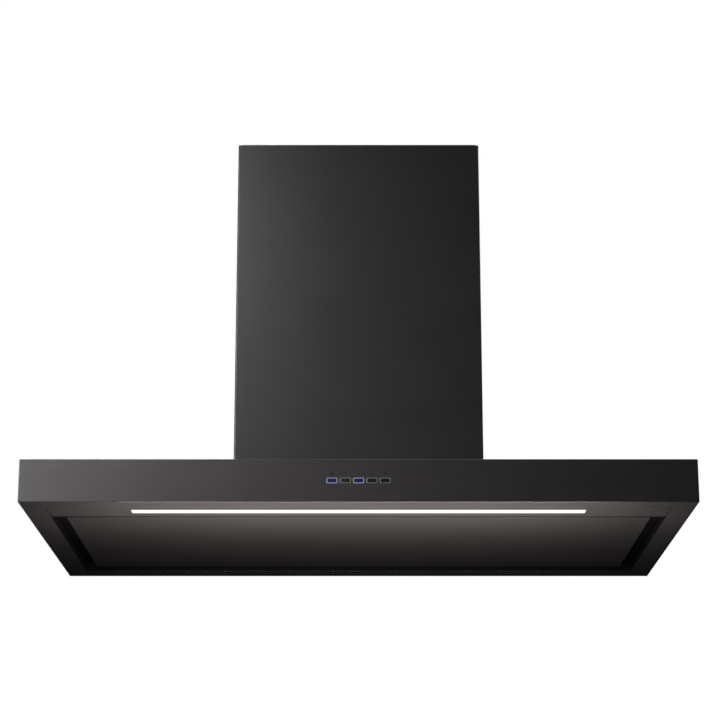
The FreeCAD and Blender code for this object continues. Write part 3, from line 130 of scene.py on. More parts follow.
# ---------------------------------------------------------------- node trees
class NodeSheet:
    """Short way to write one material's node tree."""

    def __init__(self, name: str) -> None:
        """Start an empty material with a principled shader.

        Args:
            name: the material's name.
        """
        self.material = bpy.data.materials.new(name)
        self.material.use_nodes = True
        self.tree = self.material.node_tree
        self.tree.nodes.clear()
        self.shader = self.node("ShaderNodeBsdfPrincipled")
        output = self.node("ShaderNodeOutputMaterial")
        self.join(self.shader.outputs[0], output.inputs["Surface"])
        self.place = self.node("ShaderNodeTexCoord").outputs["Object"]

    def node(self, kind: str, **settings: object) -> bpy.types.Node:
        """Add a node.

        Args:
            kind: the node's type name.
            settings: attributes to set on it.

        Returns:
            The new node.
        """
        made = self.tree.nodes.new(kind)
        for key, value in settings.items():
            setattr(made, key, value)
        return made

    def join(self, source: Socket, target: Socket) -> None:
        """Link two sockets."""
        self.tree.links.new(source, target)

    def set_shader(self, **values: object) -> None:
        """Set plain values on the shader's own sockets.

        Args:
            values: socket names, with underscores for spaces.
        """
        for key, value in values.items():
            self.shader.inputs[key.replace("_", " ")].default_value = value

    def feed(self, name: str, source: Socket) -> None:
        """Link a socket into the shader by name."""
        self.join(source, self.shader.inputs[name])

    def stretched(self, scale: Point = EVEN) -> Socket:
        """Object coordinates scaled along each axis.

        Args:
            scale: factor along X, Y and Z.

        Returns:
            The mapped vector socket.
        """
        mapping = self.node("ShaderNodeMapping")
        mapping.inputs["Scale"].default_value = scale
        self.join(self.place, mapping.inputs["Vector"])
        return mapping.outputs["Vector"]

    def noise(self, scale: float, detail: float = 3.0, stretch: Point = EVEN, rough: float = 0.5) -> Socket:
        """Fractal noise in object space.

        Args:
            scale: how fine it is.
            detail: octaves.
            stretch: extra scale along each axis.
            rough: how strong the fine octaves are.

        Returns:
            The noise's value socket.
        """
        made = self.node("ShaderNodeTexNoise")
        made.inputs["Scale"].default_value = scale
        made.inputs["Detail"].default_value = detail
        made.inputs["Roughness"].default_value = rough
        self.join(self.stretched(stretch), made.inputs["Vector"])
        return made.outputs["Fac"]

    def cells(self, scale: float) -> Socket:
        """Random value per Voronoi cell.

        Args:
            scale: how small the cells are.

        Returns:
            A socket between 0 and 1.
        """
        made = self.node("ShaderNodeTexVoronoi")
        made.inputs["Scale"].default_value = scale
        self.join(self.stretched(), made.inputs["Vector"])
        split = self.node("ShaderNodeSeparateColor")
        self.join(made.outputs["Color"], split.inputs[0])
        return split.outputs[0]

    def spread(self, source: Socket, low: float, high: float, start: float = 0.0, end: float = 1.0) -> Socket:
        """Map a value to a range.

        Args:
            source: value to map.
            low: result at start.
            high: result at end.
            start: value that gives low.
            end: value that gives high.

        Returns:
            The mapped value socket.
        """
        made = self.node("ShaderNodeMapRange")
        for name, value in (("From Min", start), ("From Max", end), ("To Min", low), ("To Max", high)):
            made.inputs[name].default_value = value
        self.join(source, made.inputs["Value"])
        return made.outputs["Result"]

    def math(self, operation: str, first: Socket, second: Socket | float) -> Socket:
        """Combine two values.

        Args:
            operation: Blender's name of the operation.
            first: left value.
            second: right value, a socket or a number.

        Returns:
            The result socket.
        """
        made = self.node("ShaderNodeMath", operation=operation)
        self.join(first, made.inputs[0])
        if isinstance(second, float):
            made.inputs[1].default_value = second
        else:
            self.join(second, made.inputs[1])
        return made.outputs[0]

    def blend(self, share: Socket, first: Colour | Socket, second: Colour | Socket) -> Socket:
        """Mix two colours.

        Args:
            share: how much of the second.
            first: colour or socket.
            second: colour or socket.

        Returns:
            The mixed colour socket.
        """
        made = self.node("ShaderNodeMix", data_type="RGBA")
        self.join(share, made.inputs[0])
        for index, value in ((6, first), (7, second)):
            if isinstance(value, tuple):
                made.inputs[index].default_value = (*value, 1.0)
            else:
                self.join(value, made.inputs[index])
        return made.outputs[2]

    def inside_box(self, low: Point, high: Point) -> Socket:
        """Whether a surface point lies in a box of the object's own space.

        Args:
            low: lowest corner.
            high: highest corner.

        Returns:
            A socket that is 1 inside and 0 outside.
        """
        split = self.node("ShaderNodeSeparateXYZ")
        self.join(self.place, split.inputs[0])
        within: Socket | None = None
        for index in range(3):
            above = self.math("GREATER_THAN", split.outputs[index], low[index])
            below = self.math("LESS_THAN", split.outputs[index], high[index])
            both = self.math("MULTIPLY", above, below)
            within = both if within is None else self.math("MULTIPLY", within, both)
        return within

    def rounded_edges(self, radius: float) -> tuple[Socket, Socket]:
        """Softened normal at edges, and a mask of where the edges are.

        Args:
            radius: rounding radius in metres.

        Returns:
            The normal socket and the mask socket.
        """
        soft = self.node("ShaderNodeBevel", samples=4)
        soft.inputs["Radius"].default_value = radius
        plain = self.node("ShaderNodeNewGeometry")
        dot = self.node("ShaderNodeVectorMath", operation="DOT_PRODUCT")
        self.join(soft.outputs[0], dot.inputs[0])
        self.join(plain.outputs["Normal"], dot.inputs[1])
        return soft.outputs[0], self.spread(dot.outputs["Value"], 0.0, 1.0, 0.999, 0.93)

    def bump(self, height: Socket, depth: float, strength: float, normal: Socket | None = None) -> Socket:
        """Surface relief from a height value.

        Args:
            height: value between 0 and 1.
            depth: relief in metres.
            strength: how much of it shows.
            normal: normal to start from.

        Returns:
            The new normal socket.
        """
        made = self.node("ShaderNodeBump")
        made.inputs["Strength"].default_value = strength
        made.inputs["Distance"].default_value = depth
        self.join(height, made.inputs["Height"])
        if normal is not None:
            self.join(normal, made.inputs["Normal"])
        return made.outputs[0]


# ---------------------------------------------------------------- finishes
def scaled(colour: Colour, factor: float) -> Colour:
    """A colour made darker or paler."""
    return tuple(factor * c for c in colour)


@dataclass(frozen=True)
class Finish(ABC):
    """A named surface finish."""

    name: str

    @abstractmethod
    def paint(self, sheet: NodeSheet) -> None:
        """Lay the finish's nodes.

        Args:
            sheet: the material's node sheet.
        """

    def material(self) -> bpy.types.Material:
        """Build the finish.

        Returns:
            The material.
        """
        sheet = NodeSheet(self.name)
        self.paint(sheet)
        return sheet.material


@dataclass(frozen=True)
class SatinEnamel(Finish):
    """Satin black enamel over brushed sheet steel, with painted shade at its bends and inside a recess: a
    near-black colour, made matt there.
    """

    colour: Colour = (0.020, 0.0185, 0.0195)
    # Colour of the painted shade laid along the bends.
    bend_shade: Colour = (0.004, 0.0036, 0.0038)
    roughness: float = 0.40
    grain: Axis = Axis.X
    along: float = 5.0
    across: float = 700.0
    edge: float = 0.0014
    # Box in the object's own space that takes painted shade, and the colour of that shade.
    recess: tuple[Point, Point] | None = None
    recess_shade_colour: Colour = (0.0050, 0.0047, 0.0047)

    def paint(self, sheet: NodeSheet) -> None:
        """Lay the finish's nodes.

        Args:
            sheet: the material's node sheet.
        """
        stretch = tuple(self.along if part else self.across for part in self.grain.value)
        streaks = sheet.noise(1.0, 4.0, stretch, 0.6)
        clouds = sheet.noise(3.2, 4.0)
        peel = sheet.noise(900.0, 2.0)
        smudge = sheet.noise(11.0, 5.0, (1.0, 1.0, 1.6), 0.62)
        soft, edges = sheet.rounded_edges(self.edge)
        tone = sheet.blend(
            sheet.spread(clouds, 0.0, 1.0, 0.3, 0.7),
            scaled(self.colour, 0.95),
            scaled(self.colour, 1.05),
        )
        bare = scaled(self.colour, 1.7)
        streaked = sheet.blend(sheet.spread(streaks, 0.0, 0.30, 0.35, 0.75), tone, bare)
        # Painted shade: a dark, matt line along every bend, its strength varied at random.
        bend_shade_mask = sheet.math("MULTIPLY", edges, sheet.spread(smudge, 0.6, 0.95, 0.35, 0.65))
        coat = sheet.blend(bend_shade_mask, streaked, self.bend_shade)
        matt = bend_shade_mask
        # Painted shade: inside the recess box the coat turns near-black and matt.
        if self.recess is not None:
            inside = sheet.inside_box(*self.recess)
            coat = sheet.blend(inside, coat, self.recess_shade_colour)
            matt = sheet.math("MAXIMUM", matt, inside)
        sheet.feed("Base Color", coat)
        sheet.feed("Specular IOR Level", sheet.spread(matt, 0.5, 0.06))
        rubbed = sheet.spread(smudge, -0.018, 0.024, 0.3, 0.7)
        wobble = sheet.math("ADD", rubbed, sheet.spread(streaks, -0.03, 0.03))
        sheet.feed("Roughness", sheet.math("ADD", wobble, self.roughness))
        rough_grain = sheet.bump(streaks, 0.00002, 0.35, soft)
        sheet.feed("Normal", sheet.bump(peel, 0.000012, 0.30, rough_grain))
        sheet.set_shader(Metallic=0.0, IOR=1.5)


@dataclass(frozen=True)
class PlatedSteel(Finish):
    """Zinc-coated sheet or hardware with its crystal spangle."""

    colour: Colour = (0.52, 0.54, 0.56)
    tint: Colour = (0.40, 0.42, 0.45)
    spangle: float = 90.0
    roughness: float = 0.36

    def paint(self, sheet: NodeSheet) -> None:
        """Lay the finish's nodes.

        Args:
            sheet: the material's node sheet.
        """
        crystals = sheet.cells(self.spangle)
        fine = sheet.cells(self.spangle * 3.1)
        dull = sheet.noise(7.0, 5.0)
        soft, edges = sheet.rounded_edges(0.0004)
        mixed = sheet.math("ADD", sheet.spread(crystals, 0.0, 0.7), sheet.spread(fine, 0.0, 0.3))
        coat = sheet.blend(mixed, self.tint, self.colour)
        aged = sheet.blend(sheet.spread(dull, 0.0, 0.45, 0.45, 0.75), coat, (0.33, 0.33, 0.32))
        sheet.feed("Base Color", sheet.blend(sheet.math("MULTIPLY", edges, 0.5), aged, (0.72, 0.73, 0.74)))
        sheet.feed("Roughness", sheet.math("ADD", sheet.spread(mixed, -0.08, 0.10), self.roughness))
        sheet.feed("Normal", sheet.bump(dull, 0.00004, 0.25, soft))
        sheet.set_shader(Metallic=0.95)


@dataclass(frozen=True)
class BrushedMetal(Finish):
    """Aluminium or steel with fine lines along one axis."""

    colour: Colour = (0.66, 0.67, 0.68)
    grain: Axis = Axis.X
    roughness: float = 0.33
    grease: float = 0.25
    along: float = 8.0
    across: float = 1100.0

    def paint(self, sheet: NodeSheet) -> None:
        """Lay the finish's nodes.

        Args:
            sheet: the material's node sheet.
        """
        stretch = tuple(self.along if part else self.across for part in self.grain.value)
        lines = sheet.noise(1.0, 4.0, stretch, 0.65)
        film = sheet.noise(16.0, 5.0, EVEN, 0.6)
        soft, edges = sheet.rounded_edges(FINE_EDGE)
        dark = scaled(self.colour, 0.82)
        bright = sheet.blend(sheet.spread(lines, 0.0, 1.0, 0.3, 0.7), dark, self.colour)
        filmed = sheet.blend(sheet.spread(film, 0.0, self.grease, 0.45, 0.8), bright, (0.30, 0.26, 0.19))
        sheet.feed("Base Color", sheet.blend(sheet.math("MULTIPLY", edges, 0.4), filmed, (0.85, 0.85, 0.85)))
        rough = sheet.math("ADD", sheet.spread(lines, -0.07, 0.07), sheet.spread(film, -0.03, 0.12, 0.4, 0.8))
        sheet.feed("Roughness", sheet.math("ADD", rough, self.roughness))
        sheet.feed("Normal", sheet.bump(lines, 0.00003, 0.4, soft))
        sheet.set_shader(Metallic=1.0)


@dataclass(frozen=True)
class MouldedPlastic(Finish):
    """Injection-moulded plastic with a fine spark-eroded texture."""

    colour: Colour = (0.028, 0.028, 0.030)
    roughness: float = 0.52
    texture: float = 1400.0
    depth: float = 0.00003

    def paint(self, sheet: NodeSheet) -> None:
        """Lay the finish's nodes.

        Args:
            sheet: the material's node sheet.
        """
        pores = sheet.noise(self.texture, 3.0, EVEN, 0.7)
        flow = sheet.noise(14.0, 4.0, (1.0, 1.0, 2.2))
        soft, edges = sheet.rounded_edges(FINE_EDGE)
        pale = tuple(1.18 * c + 0.004 for c in self.colour)
        tone = sheet.blend(sheet.spread(flow, 0.0, 1.0, 0.3, 0.7), self.colour, pale)
        rubbed = tuple(min(1.0, 1.6 * c + 0.02) for c in self.colour)
        sheet.feed("Base Color", sheet.blend(sheet.math("MULTIPLY", edges, 0.55), tone, rubbed))
        sheet.feed("Roughness", sheet.math("ADD", sheet.spread(flow, -0.06, 0.06, 0.3, 0.7), self.roughness))
        sheet.feed("Normal", sheet.bump(pores, self.depth, 0.5, soft))
        sheet.set_shader(Specular_IOR_Level=0.5)


@dataclass(frozen=True)
class OpalLamp(Finish):
    """Lit opal acrylic, a little brighter over each chip."""

    colour: Colour = (1.0, 0.985, 0.95)
    strength: float = 0.96
    pitch: float = 0.02

    def paint(self, sheet: NodeSheet) -> None:
        """Lay the finish's nodes.

        Args:
            sheet: the material's node sheet.
        """
        wave = sheet.node("ShaderNodeTexWave", wave_type="BANDS", bands_direction="X")
        wave.inputs["Scale"].default_value = math.pi / (10.0 * self.pitch)
        sheet.join(sheet.place, wave.inputs["Vector"])
        haze = sheet.noise(40.0, 3.0)
        level = sheet.math("ADD", sheet.spread(wave.outputs["Fac"], 0.0, 0.10), sheet.spread(haze, 0.93, 1.0))
        sheet.feed("Emission Color", sheet.blend(haze, self.colour, scaled(self.colour, 0.96)))
        sheet.feed("Emission Strength", sheet.math("MULTIPLY", level, self.strength))
        sheet.feed("Base Color", sheet.blend(haze, (0.030, 0.029, 0.027), (0.040, 0.039, 0.037)))
        sheet.feed("Roughness", sheet.spread(haze, 0.30, 0.42))
        sheet.feed("Normal", sheet.bump(haze, 0.00003, 0.2))


@dataclass(frozen=True)
class LightGuide(Finish):
    """Button surround: clear-topped ring, lit or dark."""

    colour: Colour
    lit: Colour
    strength: float

    def paint(self, sheet: NodeSheet) -> None:
        """Lay the finish's nodes.

        Args:
            sheet: the material's node sheet.
        """
        haze = sheet.noise(420.0, 3.0)
        soft, edges = sheet.rounded_edges(FINE_EDGE)
        pale = tuple(min(1.0, 1.25 * c) for c in self.colour)
        hazed = sheet.math("ADD", sheet.math("MULTIPLY", edges, 0.5), haze)
        sheet.feed("Base Color", sheet.blend(hazed, self.colour, pale))
        sheet.feed("Emission Color", sheet.blend(haze, self.lit, scaled(self.lit, 0.8)))
        low, high = 0.8 * self.strength, 1.2 * self.strength
        sheet.feed("Emission Strength", sheet.spread(haze, low, high, 0.3, 0.7))
        sheet.feed("Roughness", sheet.spread(haze, 0.16, 0.30))
        sheet.feed("Normal", sheet.bump(haze, 0.00002, 0.3, soft))
        sheet.set_shader(Coat_Weight=0.3)


@dataclass(frozen=True)
class SolderMask(Finish):
    """Circuit board with traces under its lacquer."""

    colour: Colour = (0.012, 0.085, 0.035)

    def paint(self, sheet: NodeSheet) -> None:
        """Lay the finish's nodes.

        Args:
            sheet: the material's node sheet.
        """
        bricks = sheet.node("ShaderNodeTexBrick")
        bricks.inputs["Scale"].default_value = 90.0
        bricks.inputs["Mortar Size"].default_value = 0.03
        sheet.join(sheet.stretched(), bricks.inputs["Vector"])
        tracks = sheet.spread(bricks.outputs["Fac"], 0.0, 1.0)
        grime = sheet.noise(60.0, 4.0)
        copper = scaled(self.colour, 2.1)
        lacquer = sheet.blend(grime, self.colour, scaled(self.colour, 1.3))
        sheet.feed("Base Color", sheet.blend(tracks, lacquer, copper))
        sheet.feed("Roughness", sheet.spread(grime, 0.22, 0.40))
        sheet.feed("Normal", sheet.bump(tracks, 0.00004, 0.6))


@dataclass(frozen=True)
class SealFoam(Finish):
    """Closed-cell foam strip."""

    colour: Colour = (0.05, 0.05, 0.052)

    def paint(self, sheet: NodeSheet) -> None:
        """Lay the finish's nodes.

        Args:
            sheet: the material's node sheet.
        """
        pores = sheet.cells(1100.0)
        wide = sheet.noise(45.0, 4.0)
        sheet.feed("Base Color", sheet.blend(pores, self.colour, scaled(self.colour, 1.7)))
        sheet.feed("Roughness", sheet.spread(wide, 0.82, 0.96))
        sheet.feed("Normal", sheet.bump(pores, 0.0002, 0.8))


@dataclass(frozen=True)
class PrintedMark(Finish):
    """Screen-printed ink of the small symbols."""

    colour: Colour = (0.0015, 0.0015, 0.0016)

    def paint(self, sheet: NodeSheet) -> None:
        """Lay the finish's nodes.

        Args:
            sheet: the material's node sheet.
        """
        screen = sheet.noise(2600.0, 2.0)
        sheet.feed("Base Color", sheet.blend(screen, self.colour, scaled(self.colour, 1.4)))
        sheet.feed("Roughness", sheet.spread(screen, 0.75, 0.90))
        sheet.feed("Normal", sheet.bump(screen, 0.00002, 0.4))
        sheet.set_shader(Specular_IOR_Level=0.2)


@cache
def coating(finish: Finish) -> bpy.types.Material:
    """The material of a finish, made on first use."""
    return finish.material()


# ---------------------------------------------------------------- mesh work
class Workpiece:
    """One mesh under construction, in the frame's coordinates."""

    bevel_steps = 2
    sharp_angle = math.radians(40)

    def __init__(self, name: str) -> None:
        """Start an empty mesh.

        Args:
            name: the piece's name.
        """
        self.name = name
        self.bm = bmesh.new()

    def _soften(self, made: list[bmesh.types.BMVert], radius: float) -> None:
        """Bevel every sharp edge between new vertices.

        Args:
            made: the new vertices.
            radius: bevel width in metres.
        """
        if radius <= 0.0:
            return
        fresh = set(made)
        new_edges = [edge for edge in self.bm.edges if fresh.issuperset(edge.verts)]
        sharp = [edge for edge in new_edges if edge.calc_face_angle(0.0) > self.sharp_angle]
        bevel = {"offset": radius, "segments": self.bevel_steps, "profile": 0.5}
        bmesh.ops.bevel(self.bm, geom=sharp, affect="EDGES", clamp_overlap=True, **bevel)

    def block(self, low: Point, high: Point, radius: float = 0.0, turn: Matrix | None = None) -> None:
        """Add a box with softened edges.

        Args:
            low: lowest corner.
            high: highest corner.
            radius: edge radius.
            turn: extra placement, about the frame's origin.
        """
        first, last = Vector(low), Vector(high)
        size = last - first
        place = Matrix.Translation((first + last) / 2) @ Matrix.Diagonal((*size, 1.0))
        if turn is not None:
            place = turn @ place
        made = bmesh.ops.create_cube(self.bm, size=1.0, matrix=place)["verts"]
        self._soften(made, radius)

    def rod(self, start: Vector, end: Vector, radius: float, sides: int) -> None:
        """Add a capped cylinder between two points.

        Args:
            start: centre of one end.
            end: centre of the other.
            radius: its radius.
            sides: facets round it.
        """
        way = end - start
        place = Matrix.Translation((start + end) / 2) @ way.to_track_quat("Z", "Y").to_matrix().to_4x4()
        size = {"segments": sides, "radius1": radius, "radius2": radius, "depth": way.length}
        bmesh.ops.create_cone(self.bm, cap_ends=True, matrix=place, **size)

    def lathe(self, profile: Sequence[tuple[float, float]], base: Vector, axis: Vector, sides: int) -> None:
        """Turn a closed profile about an axis.

        Args:
            profile: (radius, height) points of the closed section.
            base: point on the axis at height 0.
            axis: direction of the axis.
            sides: steps round it.
        """
        turn = axis.to_track_quat("Z", "Y").to_matrix()
        rings: list[list[bmesh.types.BMVert]] = []
        for step in range(sides):
            angle = math.tau * step / sides
            ring = []
            for radius, height in profile:
                flat = Vector((radius * math.cos(angle), radius * math.sin(angle), height))
                ring.append(self.bm.verts.new(base + turn @ flat))
            rings.append(ring)
        count = len(profile)
        for step in range(sides):
            here, there = rings[step], rings[(step + 1) % sides]
            for index in range(count):
                after = (index + 1) % count
                self.bm.faces.new((here[index], there[index], there[after], here[after]))

    def tube(self, path: Sequence[Vector], radius: float, sides: int, closed: bool = False) -> None:
        """Sweep a round section along a path.

        Args:
            path: points of the centreline.
            radius: section radius.
            sides: facets round the section.
            closed: whether the path is a loop.
        """
        rings: list[list[bmesh.types.BMVert]] = []
        count = len(path)
        side = Vector((0.0, 0.0, 1.0))
        for index, point in enumerate(path):
            before = path[index - 1] if index > 0 or closed else point
            after = path[(index + 1) % count] if index < count - 1 or closed else point
            way = (after - before).normalized()
            if abs(way.dot(side)) > 0.97:
                side = Vector((1.0, 0.0, 0.0))
            across = way.cross(side).normalized()
            side = across.cross(way).normalized()
            ring = []
            for step in range(sides):
                angle = math.tau * step / sides
                spoke = math.cos(angle) * across + math.sin(angle) * side
                ring.append(self.bm.verts.new(point + radius * spoke))
            rings.append(ring)
        spans = count if closed else count - 1
        for index in range(spans):
            here, there = rings[index], rings[(index + 1) % count]
            for step in range(sides):
                after = (step + 1) % sides
                self.bm.faces.new((here[step], here[after], there[after], there[step]))
        if not closed:
            self.bm.faces.new(rings[0])
            self.bm.faces.new(list(reversed(rings[-1])))

    def pan_screw(self, place: Vector, out: Vector, radius: float) -> None:
        """Add a pan-head screw's head with a cross recess.

        Args:
            place: centre of the seat.
            out: direction the head points.
            radius: head radius.
        """
        height = 0.62 * radius
        profile = [(0.0, 0.0), (radius, 0.0), (radius, 0.35 * height)]
        for step in range(1, 5):
            angle = math.radians(90 * step / 5)
            profile.append((radius * math.cos(angle) * 0.96, height * (0.35 + 0.65 * math.sin(angle))))
        profile += [(0.30 * radius, height), (0.24 * radius, 0.45 * height), (0.0, 0.40 * height)]
        self.lathe([(max(r, 0.00001), h) for r, h in profile], place, out, 24)

    def finished(self, finish: Finish, body: Body, smooth: float = 35.0) -> bpy.types.Object:
        """Turn the mesh into an object that rides on a body.

        Args:
            finish: what it is coated with.
            body: what it moves with.
            smooth: edges flatter than this many degrees are shaded smooth.

        Returns:
            The new object.
        """
        bmesh.ops.remove_doubles(self.bm, verts=self.bm.verts, dist=1e-7)
        bmesh.ops.recalc_face_normals(self.bm, faces=self.bm.faces)
        mesh = bpy.data.meshes.new(self.name)
        self.bm.to_mesh(mesh)
        self.bm.free()
        for face in mesh.polygons:
            face.use_smooth = True
        mesh.set_sharp_from_angle(angle=math.radians(smooth))
        made = bpy.data.objects.new(self.name, mesh)
        bpy.context.scene.collection.objects.link(made)
        mesh.materials.append(coating(finish))
        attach(made, body.value)
        log.info("made %s: %d faces, rides on %s", self.name, len(mesh.polygons), body.value)
        return made


def dress(finish: Finish, *nodes: str) -> None:
    """Give carried-over nodes a finish.

    Args:
        finish: the finish.
        nodes: names of the nodes.
    """
    for name in nodes:
        piece = frame["nodes"][name]
        piece.data.materials.clear()
        piece.data.materials.append(coating(finish))
        log.info("dressed %s in %s", name, finish.name)


def middle(node: str) -> Vector:
    """Centre of a node's box."""
    low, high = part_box(node)
    return (low + high) / 2


def union_box(nodes: Iterable[str]) -> tuple[Vector, Vector]:
    """Box round several nodes.

    Args:
        nodes: their names.

    Returns:
        Lowest and highest corner.
    """
    boxes = [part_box(name) for name in nodes]
    low = Vector([min(b[0][i] for b in boxes) for i in range(3)])
    high = Vector([max(b[1][i] for b in boxes) for i in range(3)])
    return low, high


def screw_heads(
    name: str, places: Iterable[Vector], out: Vector, radius: float, finish: Finish, body: Body
) -> None:
    """Make one piece of equal screw or rivet heads.

    Args:
        name: the piece's name.
        places: centres of their seats.
        out: direction they point.
        radius: head radius.
        finish: what they are coated with.
        body: what they move with.
    """
    piece = Workpiece(name)
    for place in places:
        piece.pan_screw(place, out, radius)
    piece.finished(finish, body)


def area_light(name: str, size: tuple[float, float], power: float, colour: Colour) -> bpy.types.Object:
    """Add a rectangular light that doesn't show itself.

    Args:
        name: its name.
        size: width and height.
        power: watts.
        colour: its colour.

    Returns:
        The light's object.
    """
    light = bpy.data.lights.new(name, "AREA")
    light.shape = "RECTANGLE"
    light.size, light.size_y = size
    light.energy = power
    light.color = colour
    lamp = bpy.data.objects.new(name, light)
    bpy.context.scene.collection.objects.link(lamp)
    lamp.visible_camera = False
    return lamp


# ---------------------------------------------------------------- finishes of this hood
UPRIGHT_ENAMEL = SatinEnamel("enamel_upright", (0.0092, 0.0084, 0.0100), grain=Axis.Z)
# Near-black, matt enamel: painted shade for the deck and for the pan's walls and hem, deep in the hood.
SHADE_ENAMEL = SatinEnamel("enamel_painted_shade", (0.0030, 0.0028, 0.0030), roughness=0.60, grain=Axis.X)
GALVANISED = PlatedSteel("galvanised_sheet")
ZINC = PlatedSteel("zinc_hardware", (0.66, 0.66, 0.62), (0.50, 0.50, 0.45), 700.0, 0.28)
BARE_STEEL = BrushedMetal("turned_steel", (0.55, 0.55, 0.56), Axis.X, 0.25, 0.1)
ANODISED = BrushedMetal("anodised_aluminium", (0.70, 0.71, 0.72), Axis.X, 0.34, 0.05)
BAFFLE = BrushedMetal("baffle_aluminium", (0.63, 0.63, 0.63), Axis.Y, 0.30, 0.35)
WIRE_CLOTH = BrushedMetal("wire_cloth", (0.60, 0.60, 0.60), Axis.X, 0.30, 0.45)
HOUSING = MouldedPlastic("black_moulding")
CAP_PLASTIC = MouldedPlastic("button_cap", (0.010, 0.010, 0.011), 0.24, 2600.0, 0.000008)
CAP_LIT = MouldedPlastic("button_cap_lit", (0.009, 0.011, 0.045), 0.24, 2600.0, 0.000008)
VOLUTE = MouldedPlastic("volute_plastic", (0.045, 0.046, 0.050), 0.58)
WHEEL = MouldedPlastic("wheel_plastic", (0.060, 0.061, 0.066), 0.50)
COLLAR = MouldedPlastic("collar_plastic", (0.022, 0.022, 0.024), 0.50)
WHITE_CASE = MouldedPlastic("capacitor_case", (0.66, 0.66, 0.63), 0.42)
MOTOR_COAT = MouldedPlastic("motor_coat", (0.050, 0.052, 0.056), 0.46, 600.0, 0.00006)
BOARD = SolderMask("circuit_board")
FOAM = SealFoam("seal_foam")
RUBBER = SealFoam("rubber_lip", (0.022, 0.022, 0.022))
INK = PrintedMark("symbol_ink")
RING_ON = LightGuide("ring_lit", (0.08, 0.08, 0.14), (0.55, 0.57, 1.0), 0.25)
RING_OFF = LightGuide("ring_dark", (0.12, 0.115, 0.115), (0.2, 0.2, 0.2), 0.02)
OPAL = OpalLamp("opal_lamp")


# ---------------------------------------------------------------- sub-assemblies
@dataclass
class Canopy:
    """The folded canopy and the flush light panel."""

    sheet: float = 1.0 * MM
    skin: float = 0.6 * MM
    side_reach: float = 2.5 * MM
    rear_reach: float = 1.6  # in widths of the suction slot

    def build(self) -> None:
        """Dress the canopy's sheets, with painted shade, dark and matt, inside the suction recess."""
        low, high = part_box("canopy_shell")
        panel_low, panel_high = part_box("suction_panel")
        light_low, light_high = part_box("light_panel")
        slot = panel_low.x - light_low.x
        front, rear = light_high.y - self.sheet, panel_high.y + self.rear_reach * slot
        mouth_low = (light_low.x - self.side_reach, front, low.z + self.skin)
        mouth_high = (light_high.x + self.side_reach, rear, high.z - 2 * self.sheet)
        # Painted shade inside the suction recess, dark and matt.
        dress(SatinEnamel("enamel_canopy", recess=(mouth_low, mouth_high)), "canopy_shell", "light_panel")


@dataclass
class Lamp:
    """The light strip, its channel, board and power supply."""

    terminal_inset: float = 26 * MM
    terminal_pitch: float = 8 * MM
    terminal_half: tuple[float, float] = (4 * MM, 3.6 * MM)
    terminal_height: float = 5 * MM
    terminal_seat: float = 0.5 * MM
    terminal_screw: float = 1.8 * MM
    glow_width: float = 20 * MM
    glow_drop: float = 250 * MM
    glow_back: float = 10 * MM
    glow_power: float = 9.8
    glow_stretch: float = 1.12
    glow_colour: Colour = (1.0, 0.94, 0.88)

    def build(self) -> None:
        """Dress the lamp and add its terminals and glow."""
        dress(OPAL, "led_diffuser")
        dress(ANODISED, "led_profile")
        dress(BOARD, "led_board")
        dress(HOUSING, "led_driver")
        self._terminals()
        self._glow()

    def _terminals(self) -> None:
        """Terminal blocks with their screws at both ends of the power supply."""
        low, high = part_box("led_driver")
        piece = Workpiece("driver_terminals")
        half_x, half_y = self.terminal_half
        foot, top = high.z - self.terminal_seat, high.z + self.terminal_height
        for x in (low.x + self.terminal_inset, high.x - self.terminal_inset):
            for row in (-1, 0, 1):
                spot = Vector((x, (low.y + high.y) / 2 + row * self.terminal_pitch, high.z))
                first = (spot.x - half_x, spot.y - half_y, foot)
                piece.block(first, (spot.x + half_x, spot.y + half_y, top), 0.4 * MM)
                piece.pan_screw(spot + self.terminal_height * Axis.Z.unit, Axis.Z.unit, self.terminal_screw)
        piece.finished(WHITE_CASE, Body.HOOD)

    def _glow(self) -> None:
        """Soft light that the strip throws back along the underside."""
        low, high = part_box("led_diffuser")
        centre = (low + high) / 2
        size = (self.glow_stretch * (high.x - low.x), self.glow_width)
        lamp = area_light("strip_glow", size, self.glow_power, self.glow_colour)
        lamp.location = (centre.x, centre.y + self.glow_back, low.z - self.glow_drop)
        lamp.rotation_euler = (math.pi, 0.0, 0.0)
        lamp.parent = frame["bodies"][Body.HOOD.value]


